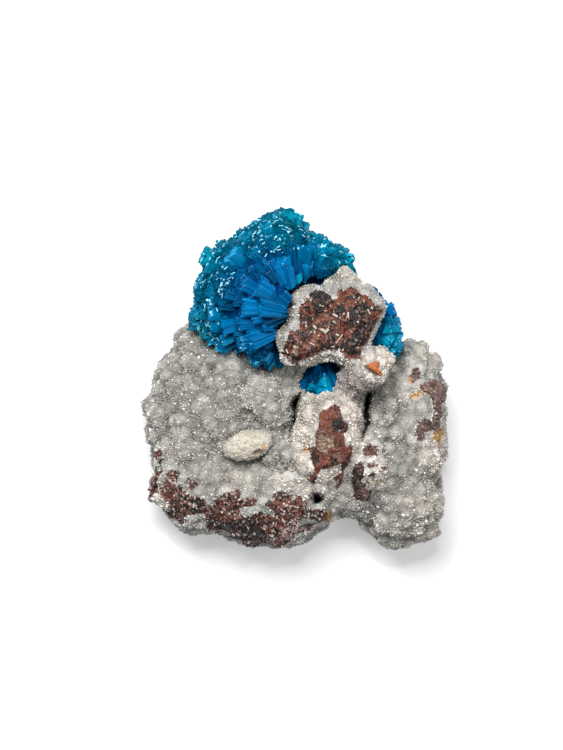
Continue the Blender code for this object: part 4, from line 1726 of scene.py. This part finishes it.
@dataclass
class Druse:
    """The rock's crust: a lumpy skin and tens of thousands of small crystals on it.

    Each clear crystal is its spot on the drawing, then its width, thickness and length.
    """

    voxel: float = 0.44
    close: float = 0.42
    lump_spacing: float = 4.4
    lump_height: float = 1.9
    pebble_spacing: float = 2.1
    pebble_height: float = 1.05
    dome_level: float = 0.7
    drift: float = 0.9
    drift_height: float = 0.30
    smoothing: float = 0.75
    pebble_share: float = 0.65
    crust: float = 0.38
    foot: Spread = (0.1, 1.5)
    crevice_depth: float = 6.0
    crevice_rise: Spread = (9.0, 12.0)
    grain_spacing: float = 0.35
    grain_size: float = 0.27
    grain_shape: Place = (1.0, 0.75, 1.25)
    grain_root: float = 0.55
    grain_tilt: float = 0.42
    grain_scale: Spread = (0.65, 1.4)
    bold_from: float = 0.97
    bold: float = 1.6
    guest_gap: float = 0.12
    low: float = 6.0
    chip_size: float = 0.36
    chip_root: float = 0.12
    clear: tuple[tuple[float, ...], ...] = (
        (289, 474, 2.2, 1.4, 2.2), (295, 479, 1.9, 1.3, 2.0), (287, 483, 1.6, 1.1, 1.8),
        (297, 471, 1.5, 1.1, 1.8), (293, 487, 1.3, 1.0, 1.7),
    )
    clear_root: float = 1.25
    pieces: int = 3
    seed: int = 4
    finish: DruseFinish = DruseFinish()
    skin: Any = field(default=None, repr=False)

    def build(self, parts: dict[str, Any], basalt: list[str], guests: list[Any]) -> None:
        """Makes the skin and grows the grains.

        Args:
            parts: The frame's objects by node.
            basalt: The nodes of the fragments in the rock.
            guests: The solids that sit in the rock and must stay free of grains.
        """
        dice = np.random.default_rng(self.seed)
        self.skin = joined_nodes("druse_skin", ["drusy_matrix", *basalt], parts)
        for distance in (self.close, -self.close):
            self._swell(distance)
            remesh(self.skin, self.voxel)
        wear(self.skin, 3)
        points, normals = points_of(self.skin), normals_of(self.skin)
        masks = face_masks(points)
        rise = self.lump_height * (field_of(points, self.lump_spacing) - self.dome_level)
        rise += self.pebble_height * (field_of(points, self.pebble_spacing) - self.dome_level)
        rise += self.drift_height * cloud_of(points, self.drift)
        rise *= 1.0 - self.smoothing * masks["flat"]
        rise -= self.crust * np.maximum(masks["bare"], masks["ochre"])
        rise *= smooth_step(points[:, 2], *self.foot)
        # How far out of the creases each point lies, for the painted shade in them.
        masks["crown"] = self._crease_shading(points)
        points = points + normals * rise[:, None]
        fall = smooth_step(points[:, 2], *self.crevice_rise)
        points[:, 2] -= self.crevice_depth * masks["crevice"] * fall
        points[:, 2] = np.maximum(points[:, 2], 0.0)
        move_points(self.skin, points)
        store(self.skin, masks)
        dress(self.skin, self.finish.skin(), "druse", "drusy_matrix")
        self._grains(dice, guests)
        self._spots(dice)
        self._clear_face(dice)

    def _clear_face(self, dice: np.random.Generator) -> None:
        """Sets the few large clear crystals beside the centre patch.

        Args:
            dice: The source of chance.
        """
        rows = np.array(self.clear)
        places = drop_on(self.skin, rows[:, 0:2]) - UP * self.clear_root
        axes = UP + 0.5 * dice.normal(size=(len(rows), 3))
        masks = {key: np.full(len(rows), float(key in ("crown", "rim"))) for key in DRUSE_TONES}
        name, sizes = "clear_crystals", rows[:, 2:5]
        crystals = grow_crystals(name, Habit.BLOCK, places, axes, sizes, dice, masks)
        dress(crystals, self.finish.grains(), "druse")

    def _spots(self, dice: np.random.Generator) -> None:
        """Scatters broken grains where the druse has come off outside the fragments.

        Args:
            dice: The source of chance.
        """
        sowing = Sowing.on(self.skin, self.chip_size, dice)
        for finish, patches in SPOT_FINISHES:
            depth = bare_depth(patches, sowing.points)
            bare = (depth > -0.05) & (depth < 1.5) & (sowing.normals[:, 2] > 0)
            here = sowing.kept(bare & (sowing.points[:, 2] > self.low))
            sizes = self.chip_size * dice.uniform(0.5, 1.4, (len(here), 3))
            name = finish.name + "_spots"
            chips = strew_chips(name, here, sizes, self.chip_root, dice, {})
            dress(chips, finish.chips(), "dark_basalt")

    def _swell(self, distance: float) -> None:
        """Moves the skin out along its normals."""
        move_points(self.skin, points_of(self.skin) + normals_of(self.skin) * distance)

    def _crease_shading(self, points: Array) -> Array:
        """Shares from 0 in a crease between domes to 1 well up a dome; they darken the colour into
        painted shade in the creases.
        """
        large, small = crease_of(points, self.lump_spacing), crease_of(points, self.pebble_spacing)
        return large * (1.0 - self.pebble_share) + small * self.pebble_share

    def _grains(self, dice: np.random.Generator, guests: list[Any]) -> None:
        """Grows the grains in a few pieces.

        Args:
            dice: The source of chance.
            guests: The solids that must stay free of grains.
        """
        sowing = Sowing.on(self.skin, self.grain_spacing, dice)
        masks = face_masks(sowing.points)
        free = (masks["bare"] < 0.4) & (masks["ochre"] < 0.5) & (masks["crevice"] < 0.75)
        sparse = (sowing.points[:, 2] < self.low) & (dice.random(len(sowing)) < 0.40)
        sparse |= (sowing.normals[:, 2] < -0.3) & (dice.random(len(sowing)) < 0.7)
        sowing = sowing.kept(free & ~sparse & (sowing.points[:, 2] > self.grain_spacing))
        sowing = sowing.kept(~inside_of(guests, sowing.points, self.guest_gap))
        masks = {**face_masks(sowing.points), "crown": self._crease_shading(sowing.points)}
        count = len(sowing)
        bold = np.where(dice.random(count) > self.bold_from, self.bold, 1.0)
        scale = self.grain_size * dice.uniform(*self.grain_scale, count) * bold
        sizes = scale[:, None] * dice.uniform(0.7, 1.2, (count, 3)) * self.grain_shape
        axes = sowing.normals + self.grain_tilt * dice.normal(size=(count, 3))
        roots = sowing.points - sowing.normals * (self.grain_root * scale)[:, None]
        order = dice.permutation(count)
        material = self.finish.grains()
        for number, share in enumerate(np.array_split(order, self.pieces)):
            tones = {key: masks[key][share] for key in DRUSE_TONES}
            grains = grow_crystals(
                f"druse_grains_{number}", Habit.BLOCK, roots[share], axes[share], sizes[share],
                dice, tones,
            )
            dress(grains, material, "druse")


# The studio


@dataclass
class Studio:
    """White paper, soft lights and a camera that looks down on the face.

    Each lamp is its name, its place, its side and its power in watts.
    """

    aim: Place = (-2.08, 0.34, 14.0)
    elevation: float = 85.0
    distance: float = 500.0
    view_height: float = 120.0
    sensor: float = 24.0
    paper: float = 1600.0
    paper_drop: float = 0.02
    air: tuple[float, float, float, float] = (0.95, 0.97, 1.0, 1.0)
    air_strength: float = 0.22
    lamps: tuple[tuple[str, Place, float, float], ...] = (
        ("key", (-90.0, 190.0, 420.0), 240.0, 3.0),
        ("fill", (200.0, -40.0, 360.0), 220.0, 0.5),
        ("glint", (30.0, 130.0, 520.0), 40.0, 0.5),
    )

    def build(self) -> None:
        """Sets up floor, lights, world and camera."""
        square = np.array([(-0.5, -0.5, 0), (0.5, -0.5, 0), (0.5, 0.5, 0), (-0.5, 0.5, 0)])
        triangles = np.array([(0, 1, 2), (0, 2, 3)])
        floor = mesh_object("paper", square * self.paper - UP * self.paper_drop, triangles)
        floor.data.materials.append(PaperFinish().make())
        for lamp in self.lamps:
            self._light(*lamp)
        world = bpy.data.worlds.new("studio_air")
        bpy.context.scene.world = world
        world.use_nodes = True
        background = world.node_tree.nodes["Background"]
        background.inputs["Color"].default_value = self.air
        background.inputs["Strength"].default_value = self.air_strength
        world.cycles_visibility.glossy = False
        self._camera()
        bpy.context.scene.view_settings.view_transform = "Standard"

    @staticmethod
    def _light(name: str, place: Place, size: float, power: float) -> None:
        """A square soft light that points at the specimen.

        Args:
            name: The light's name.
            place: Where it stands.
            size: Its side.
            power: Its power in watts.
        """
        lamp = bpy.data.lights.new(name, "AREA")
        lamp.size = size * MM
        lamp.energy = power
        light = bpy.data.objects.new(name, lamp)
        light.location = Vector(place) * MM
        light.rotation_euler = (-light.location).to_track_quat("-Z", "Y").to_euler()
        bpy.context.scene.collection.objects.link(light)

    def _camera(self) -> None:
        """The camera, almost straight above."""
        tilt = math.radians(self.elevation)
        back = Vector((0.0, -math.cos(tilt), math.sin(tilt)))
        lens = bpy.data.cameras.new("camera")
        lens.sensor_fit = "VERTICAL"
        lens.sensor_height = self.sensor
        lens.lens = self.sensor * self.distance / self.view_height
        camera = bpy.data.objects.new("camera", lens)
        camera.location = (Vector(self.aim) + back * self.distance) * MM
        camera.rotation_euler = (-back).to_track_quat("-Z", "Y").to_euler()
        bpy.context.scene.collection.objects.link(camera)
        bpy.context.scene.camera = camera


STAR_BASALT = BasaltFinish(
    "star_basalt", dark=(0.013, 0.009, 0.008), rust=(0.195, 0.050, 0.022), rust_share=0.15,
    pink_share=0.10, mineral_share=0.025, contrast=1.3,
)
BAND_BASALT = BasaltFinish(
    "band_basalt", dark=(0.014, 0.009, 0.008), rust=(0.17, 0.052, 0.032), pink=(0.50, 0.41, 0.37),
    rust_share=0.18, pink_share=0.15, mineral_share=0.035, contrast=1.3,
)
RED_BASALT = BasaltFinish(
    "red_basalt", dark=(0.020, 0.011, 0.009), rust=(0.178, 0.050, 0.029), pink=(0.22, 0.15, 0.12),
    rust_share=0.66, mineral_share=0.01, contrast=0.8,
)
STREAK_BASALT = BasaltFinish(
    "streak_basalt", dark=(0.022, 0.013, 0.011), rust=(0.10, 0.048, 0.034),
    pink=(0.22, 0.15, 0.13), rust_share=0.5, pink_share=0.12,
)
ORANGE_BASALT = BasaltFinish(
    "orange_basalt", dark=(0.15, 0.045, 0.015), rust=(0.42, 0.13, 0.035), rust_share=0.9,
    pink_share=0.03, mineral_share=0.0, contrast=0.6,
)
BROWN_BASALT = BasaltFinish(
    "brown_basalt", dark=(0.060, 0.038, 0.034), rust=(0.17, 0.095, 0.075),
    pink=(0.30, 0.23, 0.21), pink_share=0.2,
)
OCHRE_BASALT = BasaltFinish(
    "ochre_basalt", dark=(0.20, 0.10, 0.04), rust=(0.42, 0.26, 0.10), pink=(0.50, 0.40, 0.26),
    rust_share=0.8,
)
SPOT_FINISHES = [
    (STAR_BASALT, [Patch.STAR]),
    (BAND_BASALT, [Patch.BAND, Patch.SLIVER_HIGH, Patch.SLIVER_LOW, Patch.RUST_FLECK]),
    (RED_BASALT, [Patch.CENTRE]),
    (STREAK_BASALT, [
        Patch.DARK_SPOT, Patch.STREAK, Patch.STREAK_CAP, Patch.STREAK_FLECK, Patch.BROWN_FLECK,
    ]),
    (BROWN_BASALT, [Patch.RIGHT]),
    (OCHRE_BASALT, OCHRE),
]


def basalt_faces() -> list[BasaltFace]:
    """The fragments of the rock, from the star downwards.

    Returns:
        One for each fragment.
    """
    return [
        BasaltFace(
            "basalt_star", "dark_basalt", [Patch.STAR], STAR_BASALT,
            dark_zones=zones(
                (320, 301, 13, 13), (358, 317, 11, 15, 0.8), (357, 338, 8, 10, 0.9),
                (347, 350, 10, 12, 0.9), (292, 360, 8, 6, 0.6),
            ),
            pink_zones=zones((330, 319, 15, 9, 0.35), (302, 346, 18, 13, 0.35)),
            ochre_patches=[Patch.STAR_TAN],
            flecks=(
                (347, 314, 347, 320, 0.3), (335, 344, 342, 335, 0.35), (321, 330, 326, 334, 0.7),
                (323, 334, 328, 330, 0.5), (313, 327, 316, 330, 0.5), (332, 315, 337, 318, 0.4),
                (332, 322, 335, 324, 0.4), (310, 344, 314, 347, 0.35), (314, 332, 314, 335, 0.3),
                (286, 350, 288, 354, 0.3), (366, 311, 369, 316, 0.4), (355, 348, 358, 348, 0.3),
                (301, 357, 304, 360, 0.3), (349, 331, 351, 334, 0.25), (305, 322, 306, 325, 0.25),
                (362, 301, 363, 304, 0.25),
            ),
            seed=21,
        ),
        BasaltFace(
            "basalt_wedge", "orange_basalt", [Patch.WEDGE], ORANGE_BASALT, relief=0.12, seed=22
        ),
        BasaltFace(
            "basalt_centre", "red_basalt", [Patch.CENTRE], RED_BASALT, relief=0.22,
            dark_zones=zones(
                (326, 467, 5, 4, 1.7), (342, 465, 6, 4, 1.4), (337, 424, 7, 8, 1.4),
                (314, 458, 6, 6, 1.7), (333, 460, 4, 4, 1.4), (348, 458, 4, 4, 1.2),
            ),
            pink_zones=zones((325, 441, 14, 14, 0.9), (336, 457, 6, 8, 0.7)),
            ochre_patches=[Patch.CENTRE_OCHRE], seed=23,
        ),
        BasaltFace(
            "basalt_band", "dark_basalt", [Patch.BAND], BAND_BASALT,
            dark_zones=zones(
                (240, 532, 36, 18, 0.8), (196, 505, 16, 10, 0.5), (312, 516, 14, 7, 0.7),
            ),
            pink_zones=zones(
                (293, 532, 13, 10, 0.9), (196, 521, 12, 7, 0.8), (174, 478, 8, 8, 0.5),
                (270, 540, 12, 6, 0.4),
            ),
            ochre_patches=[Patch.BAND_OCHRE],
            flecks=(
                (232, 534, 235, 536, 0.35), (253, 534, 256, 535, 0.35), (263, 529, 266, 530, 0.35),
                (282, 520, 285, 523, 0.35), (221, 512, 223, 514, 0.3), (214, 523, 215, 526, 0.3),
                (247, 527, 249, 530, 0.3), (272, 524, 274, 525, 0.3), (293, 507, 296, 508, 0.3),
                (226, 503, 228, 505, 0.3),
            ),
            relief=0.45, voxel=0.30, seed=24,
        ),
        BasaltFace(
            "basalt_sliver", "dark_basalt", [Patch.SLIVER_HIGH, Patch.SLIVER_LOW], BAND_BASALT,
            seed=25,
        ),
        BasaltFace("basalt_right", "brown_basalt", [Patch.RIGHT], BROWN_BASALT, seed=26),
        BasaltFace(
            "basalt_streak", "dark_basalt", [Patch.STREAK, Patch.STREAK_FLECK], STREAK_BASALT,
            dark_zones=zones((357, 478, 8, 14, 0.8)), seed=27,
        ),
    ]


def rosettes() -> list[Rosette]:
    """The three rosettes.

    Returns:
        The main, the side and the hollow one.
    """
    return [
        Rosette(
            "cavansite_main",
            (
                ((-9.5, 12.4, 15.4), 5.8), ((-9.8, 17.0, 15.0), 4.4), ((-3.0, 19.4, 15.4), 6.0),
                ((-1.9, 23.6, 15.0), 3.0), ((4.3, 16.6, 14.8), 4.8), ((2.6, 19.4, 14.6), 3.2),
                ((-3.4, 12.8, 18.0), 6.2), ((-4.8, 7.0, 17.4), 4.2), ((-10.8, 8.8, 15.6), 3.8),
            ),
            (3.0, 8.0, 12.0), (274.0, 306.0), 14.5,
            painted_glows=zones(
                (291, 214, 4, 8, 0.8), (208, 257, 6, 8, 0.9), (296, 284, 5, 4, 0.8),
                (279, 245, 8, 10, 0.35), (345, 262, 12, 8, 0.3), (205, 335, 9, 12, 0.3),
            ),
            rough_zones=zones(
                (275, 238, 34, 26, 0.9), (318, 250, 26, 20, 0.8), (220, 275, 28, 34, 0.9),
                (208, 322, 22, 32, 0.8), (240, 345, 34, 14, 0.4), (345, 270, 20, 20, 0.5),
            ),
            swells=zones((286, 213, 14, 12, 0.6)),
            seed=31,
        ),
        Rosette(
            "cavansite_side", (((13.3, 7.4, 14.2), 3.9), ((10.1, 11.3, 13.6), 2.8)),
            (9.6, 8.4, 11.0), (380.0, 335.0), 11.0,
            tiers=(Tier(2.2, 3.0, 3.6, 13, 0.40), Tier(1.4, 1.5, 2.6, 7, 0.35, 1)),
            painted_glows=zones((392, 338, 18, 22, 0.6)),
            rough_zones=zones((375, 300, 16, 16, 0.7), (404, 345, 8, 20, 0.4)),
            swells=zones((374, 290, 15, 17, 1.7)),
            seed=32,
        ),
        Rosette(
            "cavansite_hollow", (((4.0, -0.4, 12.4), 3.2),),
            (4.2, 5.5, 11.0), (322.0, 385.0), 8.0, tiers=(Tier(1.2, 1.4, 4.2, 9, 0.45),),
            painted_glows=zones((322, 386, 24, 12, 0.55)), seed=33,
        ),
    ]


def main() -> None:
    """Builds the specimen's pieces in order and the studio round it."""
    logging.basicConfig(level=logging.INFO, format="%(name)s: %(message)s")
    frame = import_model()
    parts = frame["nodes"]
    faces = basalt_faces()
    for face in faces:
        face.build(parts)
    bundles = rosettes()
    for rosette in bundles:
        rosette.build(parts)
    lens = Lens()
    lens.build(parts)
    guests = [rosette.heart for rosette in bundles] + [lens.solid]
    Druse().build(parts, [face.node for face in faces], guests)
    Studio().build()
    bpy.context.view_layer.update()


if __name__ == "__main__":
    main()
